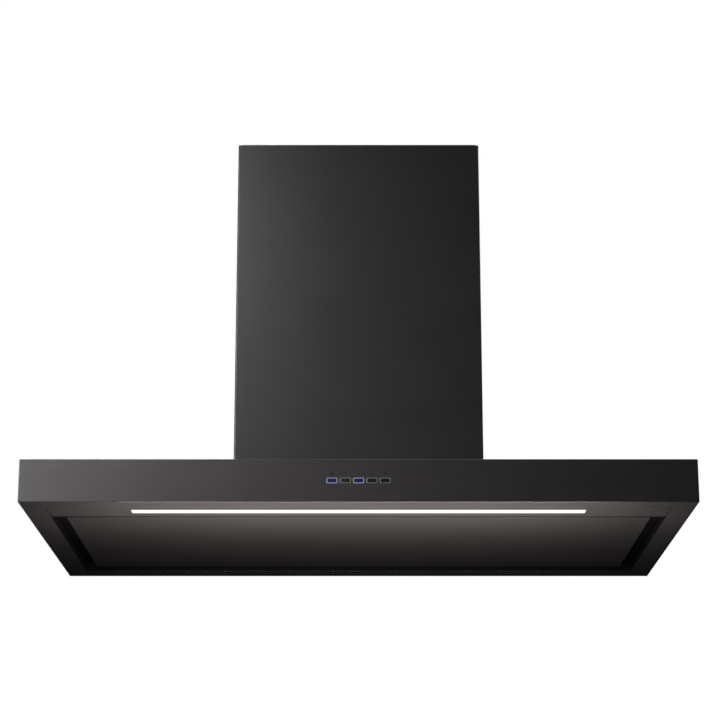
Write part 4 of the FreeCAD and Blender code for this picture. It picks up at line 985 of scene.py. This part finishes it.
@dataclass
class SuctionPanel:
    """The hinged pan under the filters."""

    face: float = 0.35 * MM
    rim_height: float = 12 * MM
    wall: float = 1.0 * MM
    corner: float = 3 * MM
    hem_radius: float = 0.9 * MM
    rib_x: float = 250 * MM
    rib_floor: float = 8 * MM
    rib_ends: tuple[float, float] = (50 * MM, 60 * MM)
    rivets: int = 7
    rivet_radius: float = 3.0 * MM

    def build(self) -> None:
        """Dress the panel with painted shade on its walls, dress its hinge, and add the hem and the rivets.
        """
        low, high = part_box("suction_panel")
        # Painted shade: the pan's walls above its face take the shade enamel's near-black colour and go matt.
        rim = (tuple(low - Vector((1, 1, 0)) + self.face * Axis.Z.unit), tuple(high + Vector((1, 1, 1))))
        dress(SatinEnamel("enamel_panel", recess=rim, recess_shade_colour=SHADE_ENAMEL.colour), "suction_panel")
        dress(BARE_STEEL, "panel_hinge_pins")
        dress(HOUSING, "panel_magnets")
        self._hem()
        self._rivets()

    def _hem(self) -> None:
        """Rolled hem inside the top of the pan's front and side rims, in painted shade."""
        low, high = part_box("suction_panel")
        inset = self.wall + self.hem_radius
        z = low.z + self.rim_height - self.hem_radius
        front, rear = low.y + inset, high.y - inset
        left, right = low.x + inset, high.x - inset
        turn_y = front + self.corner
        path = [Vector((left, rear, z)), Vector((left, turn_y, z))]
        path += self._bend(Vector((left + self.corner, turn_y, z)), 180)
        path += self._bend(Vector((right - self.corner, turn_y, z)), 270)
        path += [Vector((right, turn_y, z)), Vector((right, rear, z))]
        piece = Workpiece("panel_hem")
        piece.tube(path, self.hem_radius, 12)
        piece.finished(SHADE_ENAMEL, Body.PANEL)

    def _bend(self, centre: Vector, start: float) -> list[Vector]:
        """Points of a level quarter turn.

        Args:
            centre: its centre.
            start: first angle in degrees.

        Returns:
            The points.
        """
        turns = [math.radians(start + 90 * step / 6) for step in range(7)]
        return [centre + self.corner * Vector((math.cos(a), math.sin(a), 0)) for a in turns]

    def _rivets(self) -> None:
        """Domed rivets along the two stiffening ribs."""
        low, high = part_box("suction_panel")
        run = high.y - low.y - sum(self.rib_ends)
        rows = [low.y + self.rib_ends[0] + step * run / (self.rivets - 1) for step in range(self.rivets)]
        places = [Vector((side * self.rib_x, y, low.z + self.rib_floor)) for side in (-1, 1) for y in rows]
        screw_heads("panel_rib_rivets", places, Axis.Z.unit, self.rivet_radius, ZINC, Body.PANEL)


@dataclass
class FilterDeck:
    """The plate over the suction panel, with seals and fixings."""

    seal_width: float = 5.0 * MM
    seal_height: float = 1.0 * MM
    seal_inset: float = 1.5 * MM
    rivets: int = 9
    rivet_radius: float = 2.6 * MM
    rivet_inset: tuple[float, float] = (60 * MM, 12 * MM)
    bracket_shift: float = 30 * MM
    bracket_inset: tuple[float, float] = (20 * MM, 18 * MM)

    def build(self) -> None:
        """Dress the deck in painted shade and add seals and rivets."""
        dress(SHADE_ENAMEL, "filter_deck")
        self._seals()
        self._rivets()

    def _seals(self) -> None:
        """Foam strips between each filter's rim and the deck."""
        for side in SIDES:
            low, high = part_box("grease_filter_" + side)
            piece = Workpiece("filter_seal_" + side)
            left, right = low.x + self.seal_inset, high.x - self.seal_inset
            front, rear = low.y + self.seal_inset, high.y - self.seal_inset
            width = self.seal_width
            strips = (
                ((left, front), (right, front + width)),
                ((left, rear - width), (right, rear)),
                ((left, front + width), (left + width, rear - width)),
                ((right - width, front + width), (right, rear - width)),
            )
            for first, last in strips:
                piece.block((*first, high.z), (*last, high.z + self.seal_height), 0.2 * MM)
            piece.finished(FOAM, Body.HOOD)

    def _rivets(self) -> None:
        """Rivets at the hinge brackets and along the deck's front edge."""
        low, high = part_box("filter_deck")
        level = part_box("grease_filter_left")[1].z + self.seal_height
        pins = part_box("panel_hinge_pins")
        bracket_x, bracket_y = pins[1].x - self.bracket_inset[0], pins[0].y - self.bracket_inset[1]
        inset_x, inset_y = self.rivet_inset
        run = high.x - low.x - 2 * inset_x
        places = []
        for side in (-1, 1):
            for shift in (-self.bracket_shift, self.bracket_shift):
                places.append(Vector((side * bracket_x + shift, bracket_y, level)))
        for step in range(self.rivets):
            x = low.x + inset_x + step * run / (self.rivets - 1)
            places.append(Vector((x, low.y + inset_y, level)))
        screw_heads("deck_rivets", places, -Axis.Z.unit, self.rivet_radius, ZINC, Body.HOOD)


@dataclass
class GreaseFilters:
    """Two baffle filters with wire cloth, rivets and sprung latches."""

    cloth_pitch: float = 6.0 * MM
    cloth_margin: float = 13 * MM
    cloth_level: float = 3.2 * MM
    wire: float = 0.45 * MM
    pocket_margin: float = 7 * MM
    pocket_depth: float = 43 * MM
    rivet_inset: float = 6.5 * MM
    rivet_radius: float = 2.4 * MM
    spring_radius: float = 2.0 * MM
    spring_wire: float = 0.35 * MM
    spring_turns: int = 5
    spring_shift: float = 8 * MM
    spring_seat: float = 38 * MM
    latch_travel: float = 6 * MM

    def build(self) -> None:
        """Dress and detail both filters."""
        for side in SIDES:
            dress(BAFFLE, "grease_filter_" + side)
            dress(BARE_STEEL, "filter_latch_" + side)
            self._cloth(side)
            self._rivets(side)
            self._springs(side)

    def _cloth(self, side: str) -> None:
        """Woven wire between the two rows of slats, cut out round the latch's pocket.

        Args:
            side: left or right.
        """
        low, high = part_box("grease_filter_" + side)
        z = low.z + self.cloth_level
        piece = Workpiece("filter_cloth_" + side)
        margin = self.cloth_margin
        width, length = high.x - low.x - 2 * margin, high.y - low.y - 2 * margin
        across, along = int(width / self.cloth_pitch), int(length / self.cloth_pitch)
        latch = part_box("filter_latch_" + side)
        pocket_left, pocket_right = latch[0].x - self.pocket_margin, latch[1].x + self.pocket_margin
        pocket_rear = low.y + self.pocket_depth
        for column in range(1, across):
            x = low.x + margin + width * column / across
            start = 0
            if pocket_left < x < pocket_right:
                start = int((pocket_rear - low.y - margin) / length * along) + 1
            points = []
            for row in range(start, along + 1):
                lift = self.wire if (row + column) % 2 else -self.wire
                points.append(Vector((x, low.y + margin + length * row / along, z + lift)))
            piece.tube(points, self.wire, 5)
        for row in range(1, along):
            y = low.y + margin + length * row / along
            spans = [(0, across)]
            if y < pocket_rear:
                first = int((pocket_left - low.x - margin) / width * across)
                last = int((pocket_right - low.x - margin) / width * across) + 1
                spans = [(0, first), (last, across)]
            for begin, end in spans:
                points = []
                for column in range(begin, end + 1):
                    lift = -self.wire if (row + column) % 2 else self.wire
                    points.append(Vector((low.x + margin + width * column / across, y, z + lift)))
                piece.tube(points, self.wire, 5)
        piece.finished(WIRE_CLOTH, Body.HOOD, 60.0)

    def _rivets(self, side: str) -> None:
        """Corner rivets on the underside of the frame.

        Args:
            side: left or right.
        """
        low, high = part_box("grease_filter_" + side)
        columns = (low.x + self.rivet_inset, high.x - self.rivet_inset)
        rows = (low.y + self.rivet_inset, high.y - self.rivet_inset)
        places = [Vector((x, y, low.z)) for x in columns for y in rows]
        name = "filter_rivets_" + side
        screw_heads(name, places, -Axis.Z.unit, self.rivet_radius, BARE_STEEL, Body.HOOD)

    def _springs(self, side: str) -> None:
        """Two coil springs behind the latch.

        Args:
            side: left or right.
        """
        low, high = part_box("filter_latch_" + side)
        frame_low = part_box("grease_filter_" + side)[0]
        start = high.y
        end = frame_low.y + self.spring_seat
        z = high.z - self.spring_radius / 2
        piece = Workpiece("latch_springs_" + side)
        steps = self.spring_turns * 14
        run = end - start - 2 * self.spring_wire
        for shift in (-self.spring_shift, self.spring_shift):
            centre = (low.x + high.x) / 2 + shift
            path = []
            for step in range(steps + 1):
                angle = math.tau * self.spring_turns * step / steps
                x, up = self.spring_radius * math.cos(angle), self.spring_radius * math.sin(angle)
                path.append(Vector((centre + x, start + self.spring_wire + run * step / steps, z + up)))
            piece.tube(path, self.spring_wire, 6)
        made = piece.finished(BARE_STEEL, Body.HOOD, 60.0)
        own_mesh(made)


@dataclass
class Chimney:
    """Outer chimney fixed to the hood, inner chimney fixed to the ceiling."""

    lip_radius: float = 0.8 * MM
    lip_inset: float = 1.7 * MM
    louvre_rows: int = 6
    louvre_start: float = 36 * MM
    louvre_pitch: float = 18 * MM
    louvre_drop: float = 74 * MM
    louvre_half_width: float = 3.3 * MM
    louvre_reach: float = 28 * MM

    def build(self) -> None:
        """Dress the four halves and add the louvres' lips."""
        dress(UPRIGHT_ENAMEL, "lower_chimney_front", "lower_chimney_rear")
        dress(UPRIGHT_ENAMEL, "upper_chimney_front", "upper_chimney_rear")
        dress(ZINC, "upper_chimney_screws", "chimney_foot_screws")
        self._lips()

    def _lips(self) -> None:
        """Rolled lips inside the louvres near the top of the inner chimney."""
        low, high = union_box(("upper_chimney_front", "upper_chimney_rear"))
        for name, way in (("front", -1), ("rear", 1)):
            piece = Workpiece("louvre_lips_" + name)
            for x in (low.x + self.lip_inset, high.x - self.lip_inset):
                for index in range(self.louvre_rows):
                    y = way * (self.louvre_start + self.louvre_pitch * index)
                    path = self._slot_loop(Vector((x, y, high.z - self.louvre_drop)))
                    piece.tube(path, self.lip_radius, 8, closed=True)
            piece.finished(UPRIGHT_ENAMEL, Body.CEILING)

    def _slot_loop(self, middle_point: Vector) -> list[Vector]:
        """Loop round one louvre.

        Args:
            middle_point: middle of the slot, on the wall's inside.

        Returns:
            Points of the closed loop.
        """
        points = []
        for first, reach in ((0, self.louvre_reach), (180, -self.louvre_reach)):
            for step in range(9):
                angle = math.radians(first + 180 * step / 8)
                arc = Vector((0.0, math.cos(angle), math.sin(angle)))
                points.append(middle_point + reach * Axis.Z.unit + self.louvre_half_width * arc)
        return points


@dataclass
class CeilingFrame:
    """The telescoping frame between the ceiling and the canopy."""

    tick_pitch: float = 10 * MM
    tick_half: float = 0.25 * MM
    tick_inset: float = 4 * MM
    tick_lengths: tuple[float, float] = (9 * MM, 5 * MM)
    tick_top: float = 50 * MM
    tick_ends: float = 80 * MM

    def build(self) -> None:
        """Dress the frame and add scale ticks to its posts."""
        ends = [f"{end}_{side}" for end in ("front", "rear") for side in SIDES]
        posts = [f"{level}_post_{end}" for level in ("upper", "lower") for end in ends]
        dress(GALVANISED, "ceiling_plate", "upper_braces", "lower_braces", *posts)
        dress(ZINC, "ceiling_frame_bolts", "lower_frame_bolts", "height_clamp_bolts")
        self._ticks()

    def _ticks(self) -> None:
        """Printed height ticks on the front posts, every fifth one long."""
        piece = Workpiece("post_ticks")
        long, short = self.tick_lengths
        for side, way in zip(SIDES, (-1, 1)):
            low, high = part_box("upper_post_front_" + side)
            outer = (low.x if way < 0 else high.x) - way * self.tick_inset
            front, back = low.y - 0.12 * MM, low.y + 0.1 * MM
            for index in range(int((high.z - low.z - self.tick_ends) / self.tick_pitch)):
                z = high.z - self.tick_top - index * self.tick_pitch
                xs = sorted((outer, outer - way * (short if index % 5 else long)))
                bottom, top = z - self.tick_half, z + self.tick_half
                piece.block((xs[0], front, bottom), (xs[1], back, top), 0.05 * MM)
        piece.finished(INK, Body.CEILING)


@dataclass
class Blower:
    """Casing, volute, motor, wheel and the duct collar with its flaps."""

    clip_count: int = 7
    clip_turns: tuple[float, float] = (100, 36)
    clip_radius: float = 91 * MM
    clip_growth: float = 24 * MM
    clip_low: Point = (-9 * MM, -1.0 * MM, -5 * MM)
    clip_high: Point = (9 * MM, 1.4 * MM, 5 * MM)
    lip_wire: float = 0.55 * MM
    lip_rise: float = 0.25 * MM
    lip_reach: float = 0.4 * MM
    rib_count: int = 5
    rib_start: float = 32 * MM
    rib_pitch: float = 9 * MM
    rib_radii: tuple[float, float] = (41.8 * MM, 43.6 * MM)
    rib_halves: tuple[float, float] = (1.2 * MM, 0.8 * MM)

    def build(self) -> None:
        """Dress and detail the blower."""
        dress(GALVANISED, "blower_box", "outlet_adaptor", "motor_bracket")
        dress(VOLUTE, "scroll_left", "scroll_right")
        dress(WHEEL, "impeller")
        dress(MOTOR_COAT, "motor")
        dress(WHITE_CASE, "capacitor")
        dress(COLLAR, "outlet_collar", "damper_flap_front", "damper_flap_rear")
        dress(BARE_STEEL, "flap_rod")
        self._clips()
        self._flap_lips()
        self._motor_ribs()

    def _clips(self) -> None:
        """Spring clips over the seam of the two volute halves, which widens round the wheel."""
        wheel = middle("impeller")
        piece = Workpiece("volute_clips")
        first, pitch = self.clip_turns
        for index in range(self.clip_count):
            angle = math.radians(first + index * pitch)
            radius = self.clip_radius + self.clip_growth * (index * pitch + 10) / 270
            spot = Vector((0.0, wheel.y + radius * math.cos(angle), wheel.z + radius * math.sin(angle)))
            turn = Matrix.Translation(spot) @ Matrix.Rotation(angle, 4, "X")
            piece.block(self.clip_low, self.clip_high, 0.5 * MM, turn)
        piece.finished(BARE_STEEL, Body.HOOD)

    def _flap_lips(self) -> None:
        """Soft sealing lip round each flap's rim."""
        rod = middle("flap_rod")
        for name, body, way in (("front", Body.FLAP_FRONT, -1), ("rear", Body.FLAP_REAR, 1)):
            low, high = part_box("damper_flap_" + name)
            radius = (high.x - low.x) / 2 + self.lip_reach
            path = []
            for step in range(33):
                angle = math.radians(8 + 164 * step / 32)
                x, y = radius * math.cos(angle), rod.y + way * radius * math.sin(angle)
                path.append(Vector((x, y, rod.z + self.lip_rise)))
            piece = Workpiece("flap_lip_" + name)
            piece.tube(path, self.lip_wire, 8)
            piece.finished(RUBBER, body)

    def _motor_ribs(self) -> None:
        """Cooling ribs round the motor's can."""
        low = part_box("motor")[0]
        centre = middle("motor")
        inside, outside = self.rib_radii
        foot, crest = self.rib_halves
        profile = [(inside, -foot), (outside, -crest), (outside, crest), (inside, foot)]
        piece = Workpiece("motor_ribs")
        for index in range(self.rib_count):
            x = low.x + self.rib_start + self.rib_pitch * index
            piece.lathe(profile, Vector((x, centre.y, centre.z)), Axis.X.unit, 48)
        piece.finished(MOTOR_COAT, Body.HOOD)


@dataclass
class Electrics:
    """Mains box, its board and the cable gland."""

    screw_radius: float = 3.2 * MM
    screw_inset: float = 9 * MM
    recess: float = 1.0 * MM

    def build(self) -> None:
        """Dress the electrics and add the lid's screws."""
        dress(HOUSING, "electronics_box", "electronics_lid", "cable_gland")
        dress(BOARD, "power_board")
        self._lid_screws()

    def _lid_screws(self) -> None:
        """Four screws in the lid's corners."""
        low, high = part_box("electronics_lid")
        rows = (low.y + self.screw_inset, high.y - self.screw_inset)
        levels = (low.z + self.screw_inset, high.z - self.screw_inset)
        places = [Vector((low.x + self.recess, y, z)) for y in rows for z in levels]
        out = -Axis.X.unit
        screw_heads("electronics_lid_screws", places, out, self.screw_radius, ZINC, Body.HOOD)


class Symbol(Enum):
    """The generic symbol over each button."""

    LAMP = "light"
    SPEED_ONE = "speed_1"
    SPEED_TWO = "speed_2"
    SPEED_THREE = "speed_3"
    CLOCK = "timer"


@dataclass
class Controls:
    """Five push buttons with light-guide rings and printed symbols."""

    symbol_rise: float = 12.3 * MM
    ink_depth: float = 0.06 * MM
    ink_seat: float = 0.02 * MM
    bar_pitch: float = 1.6 * MM
    bar_drop: float = 1.6 * MM
    bar_height: float = 1.4 * MM
    bar_step: float = 0.7 * MM
    sun_radius: float = 1.3 * MM
    sun_rays: tuple[float, float] = (1.6 * MM, 2.5 * MM)
    clock_radius: float = 2.0 * MM
    clock_hands: tuple[float, float] = (1.3 * MM, 1.0 * MM)
    line: float = 0.8 * MM
    lit: tuple[Symbol, ...] = (Symbol.LAMP, Symbol.SPEED_TWO)

    def build(self) -> None:
        """Dress the controls and print the symbols."""
        for symbol in Symbol:
            dress(CAP_LIT if symbol in self.lit else CAP_PLASTIC, f"button_{symbol.value}")
        dress(RING_ON, "button_rings_lit")
        dress(RING_OFF, "button_rings_unlit")
        dress(HOUSING, "control_housing")
        dress(BOARD, "control_board")
        for symbol in Symbol:
            self._print(symbol)

    def _print(self, symbol: Symbol) -> None:
        """Print one symbol above its button.

        Args:
            symbol: which one.
        """
        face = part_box("canopy_shell")[0].y
        button = middle("button_" + symbol.value)
        centre = Vector((button.x, face, button.z + self.symbol_rise))
        piece = Workpiece("symbol_" + symbol.value)
        if symbol is Symbol.LAMP:
            self._disc(piece, centre, self.sun_radius)
            for step in range(8):
                self._ray(piece, centre, math.tau * step / 8, *self.sun_rays)
        elif symbol is Symbol.CLOCK:
            self._circle(piece, centre, self.clock_radius)
            self._ray(piece, centre, math.radians(90), 0.0, self.clock_hands[0])
            self._ray(piece, centre, 0.0, 0.0, self.clock_hands[1])
        else:
            bars = {Symbol.SPEED_ONE: 1, Symbol.SPEED_TWO: 2, Symbol.SPEED_THREE: 3}[symbol]
            for index in range(bars):
                x = centre.x + (index - (bars - 1) / 2) * self.bar_pitch
                height = self.bar_height + self.bar_step * index
                foot = centre.z - self.bar_drop
                low = (x - self.line / 2, face - self.ink_depth, foot)
                piece.block(low, (x + self.line / 2, face + self.ink_seat, foot + height), self.ink_seat)
        piece.finished(INK, Body.HOOD)

    def _disc(self, piece: Workpiece, centre: Vector, radius: float) -> None:
        """Filled spot of ink."""
        piece.rod(centre + self.ink_seat * Axis.Y.unit, centre - self.ink_depth * Axis.Y.unit, radius, 24)

    def _circle(self, piece: Workpiece, centre: Vector, radius: float) -> None:
        """Ring of ink.

        Args:
            piece: mesh to add to.
            centre: middle of the ring.
            radius: mean radius.
        """
        half = self.line / 2
        inside, outside = radius - half, radius + half
        profile = [(inside, 0.0), (outside, 0.0), (outside, self.ink_depth), (inside, self.ink_depth)]
        piece.lathe(profile, centre, -Axis.Y.unit, 28)

    def _ray(self, piece: Workpiece, centre: Vector, angle: float, start: float, end: float) -> None:
        """Stroke of ink out from a centre.

        Args:
            piece: mesh to add to.
            centre: where strokes start from.
            angle: direction in the face, from +X towards +Z.
            start: distance of its near end.
            end: distance of its far end.
        """
        half = self.line / 2
        turn = Matrix.Translation(centre) @ Matrix.Rotation(-angle, 4, "Y")
        piece.block((start, -self.ink_depth, -half), (end, self.ink_seat, half), 0.0, turn)


# ---------------------------------------------------------------- studio
@dataclass(frozen=True)
class SoftBox:
    """Rectangular soft light: where it stands, what it points at, size, watts, beam in degrees."""

    name: str
    place: Point
    target: Point
    size: tuple[float, float]
    power: float
    spread: float

    def hang(self) -> None:
        """Add the light to the scene."""
        lamp = area_light(self.name, self.size, self.power, (1.0, 0.965, 0.96))
        lamp.data.spread = math.radians(self.spread)
        lamp.location = self.place
        lamp.rotation_mode = "QUATERNION"
        lamp.rotation_quaternion = (Vector(self.target) - Vector(self.place)).to_track_quat("-Z", "Y")


@dataclass
class Studio:
    """Camera, lights, floor and background."""

    eye: Point = (0.0, -3.981, -1.5685)
    pitch: float = 15.38
    lens: float = 105.72
    shift: tuple[float, float] = (0.002, 0.06)
    floor_drop: float = 3.4
    floor_half: float = 150.0
    fill: float = 0.013
    boxes: tuple[SoftBox, ...] = (
        SoftBox("key_left", (-2.2, -2.4, -0.3), (-0.75, -0.2, -0.6), (1.0, 1.2), 19.5, 62.0),
        SoftBox("near_left", (-0.85, -1.25, 0.18), (-0.3, -0.2, -0.36), (0.3, 0.5), 3.2, 120.0),
        SoftBox("upright_left", (-0.52, -1.12, 0.20), (-0.3, -0.17, -0.14), (0.12, 0.5), 0.8, 100.0),
        SoftBox("side_right", (2.3, 0.8, 1.7), (0.4, 0.1, -0.4), (1.4, 1.4), 26.0, 70.0),
        SoftBox("rear", (-0.7, 2.5, 1.9), (0.0, 0.3, -0.4), (1.6, 1.4), 24.0, 70.0),
        SoftBox("overhead", (0.3, 0.25, 2.4), (0.1, 0.0, -0.3), (1.4, 0.8), 5.0, 70.0),
    )

    def build(self) -> None:
        """Set up everything round the object."""
        self._camera()
        self._world()
        self._floor()
        self._lights()

    def _camera(self) -> None:
        """Camera in front of the hood and below it, looking up."""
        data = bpy.data.cameras.new("camera")
        data.lens = self.lens
        data.sensor_width = 36.0
        data.shift_x, data.shift_y = self.shift
        data.clip_start, data.clip_end = 0.05, 400.0
        camera = bpy.data.objects.new("camera", data)
        bpy.context.scene.collection.objects.link(camera)
        camera.location = self.eye
        camera.rotation_euler = (math.radians(90 + self.pitch), 0.0, 0.0)
        bpy.context.scene.camera = camera

    def _world(self) -> None:
        """White backdrop that lights the hood only a little."""
        world = bpy.data.worlds.new("studio")
        world.use_nodes = True
        tree = world.node_tree
        tree.nodes.clear()
        out = tree.nodes.new("ShaderNodeOutputWorld")
        mix = tree.nodes.new("ShaderNodeMixShader")
        ray = tree.nodes.new("ShaderNodeLightPath")
        tree.links.new(ray.outputs["Is Camera Ray"], mix.inputs[0])
        glows = (((1.0, 0.97, 0.95, 1.0), self.fill), ((1.0, 1.0, 1.0, 1.0), 1.0))
        for socket, (colour, strength) in enumerate(glows, 1):
            glow = tree.nodes.new("ShaderNodeBackground")
            glow.inputs["Color"].default_value = colour
            glow.inputs["Strength"].default_value = strength
            tree.links.new(glow.outputs[0], mix.inputs[socket])
        tree.links.new(mix.outputs[0], out.inputs["Surface"])
        bpy.context.scene.world = world
        bpy.context.scene.view_settings.view_transform = "Standard"

    def _floor(self) -> None:
        """Plain pale floor well below the hood."""
        low, _ = CAD_BOX
        mesh = bpy.data.meshes.new("studio_floor")
        half = self.floor_half
        z = low.z - self.floor_drop
        corners = [(-half, -half, z), (half, -half, z), (half, half, z), (-half, half, z)]
        mesh.from_pydata(corners, [], [(0, 1, 2, 3)])
        floor = bpy.data.objects.new("studio_floor", mesh)
        bpy.context.scene.collection.objects.link(floor)
        sheet = NodeSheet("pale_floor")
        dust = sheet.noise(2.0, 3.0)
        tone = sheet.blend(dust, (0.20, 0.20, 0.20), (0.22, 0.22, 0.22))
        sheet.feed("Base Color", tone)
        sheet.set_shader(Roughness=0.9)
        ray = sheet.node("ShaderNodeLightPath")
        sheet.feed("Emission Color", sheet.blend(dust, (0.91, 0.91, 0.91), (0.94, 0.94, 0.94)))
        sheet.feed("Emission Strength", sheet.math("MULTIPLY", ray.outputs["Is Camera Ray"], 0.97))
        mesh.materials.append(sheet.material)

    def _lights(self) -> None:
        """Hang every soft box."""
        for box in self.boxes:
            box.hang()


# ---------------------------------------------------------------- the whole hood
@dataclass
class RangeHood:
    """Every sub-assembly, in the order in which it is built."""

    parts: tuple[type, ...] = (
        Canopy, Lamp, SuctionPanel, FilterDeck, GreaseFilters,
        Chimney, CeilingFrame, Blower, Electrics, Controls,
    )

    def build(self) -> None:
        """Build each sub-assembly in turn."""
        for part in self.parts:
            part().build()


def main() -> None:
    """Build the studio and the hood."""
    logging.basicConfig(level=logging.INFO, format="%(message)s")
    Studio().build()
    RangeHood().build()


if __name__ == "__main__":
    main()
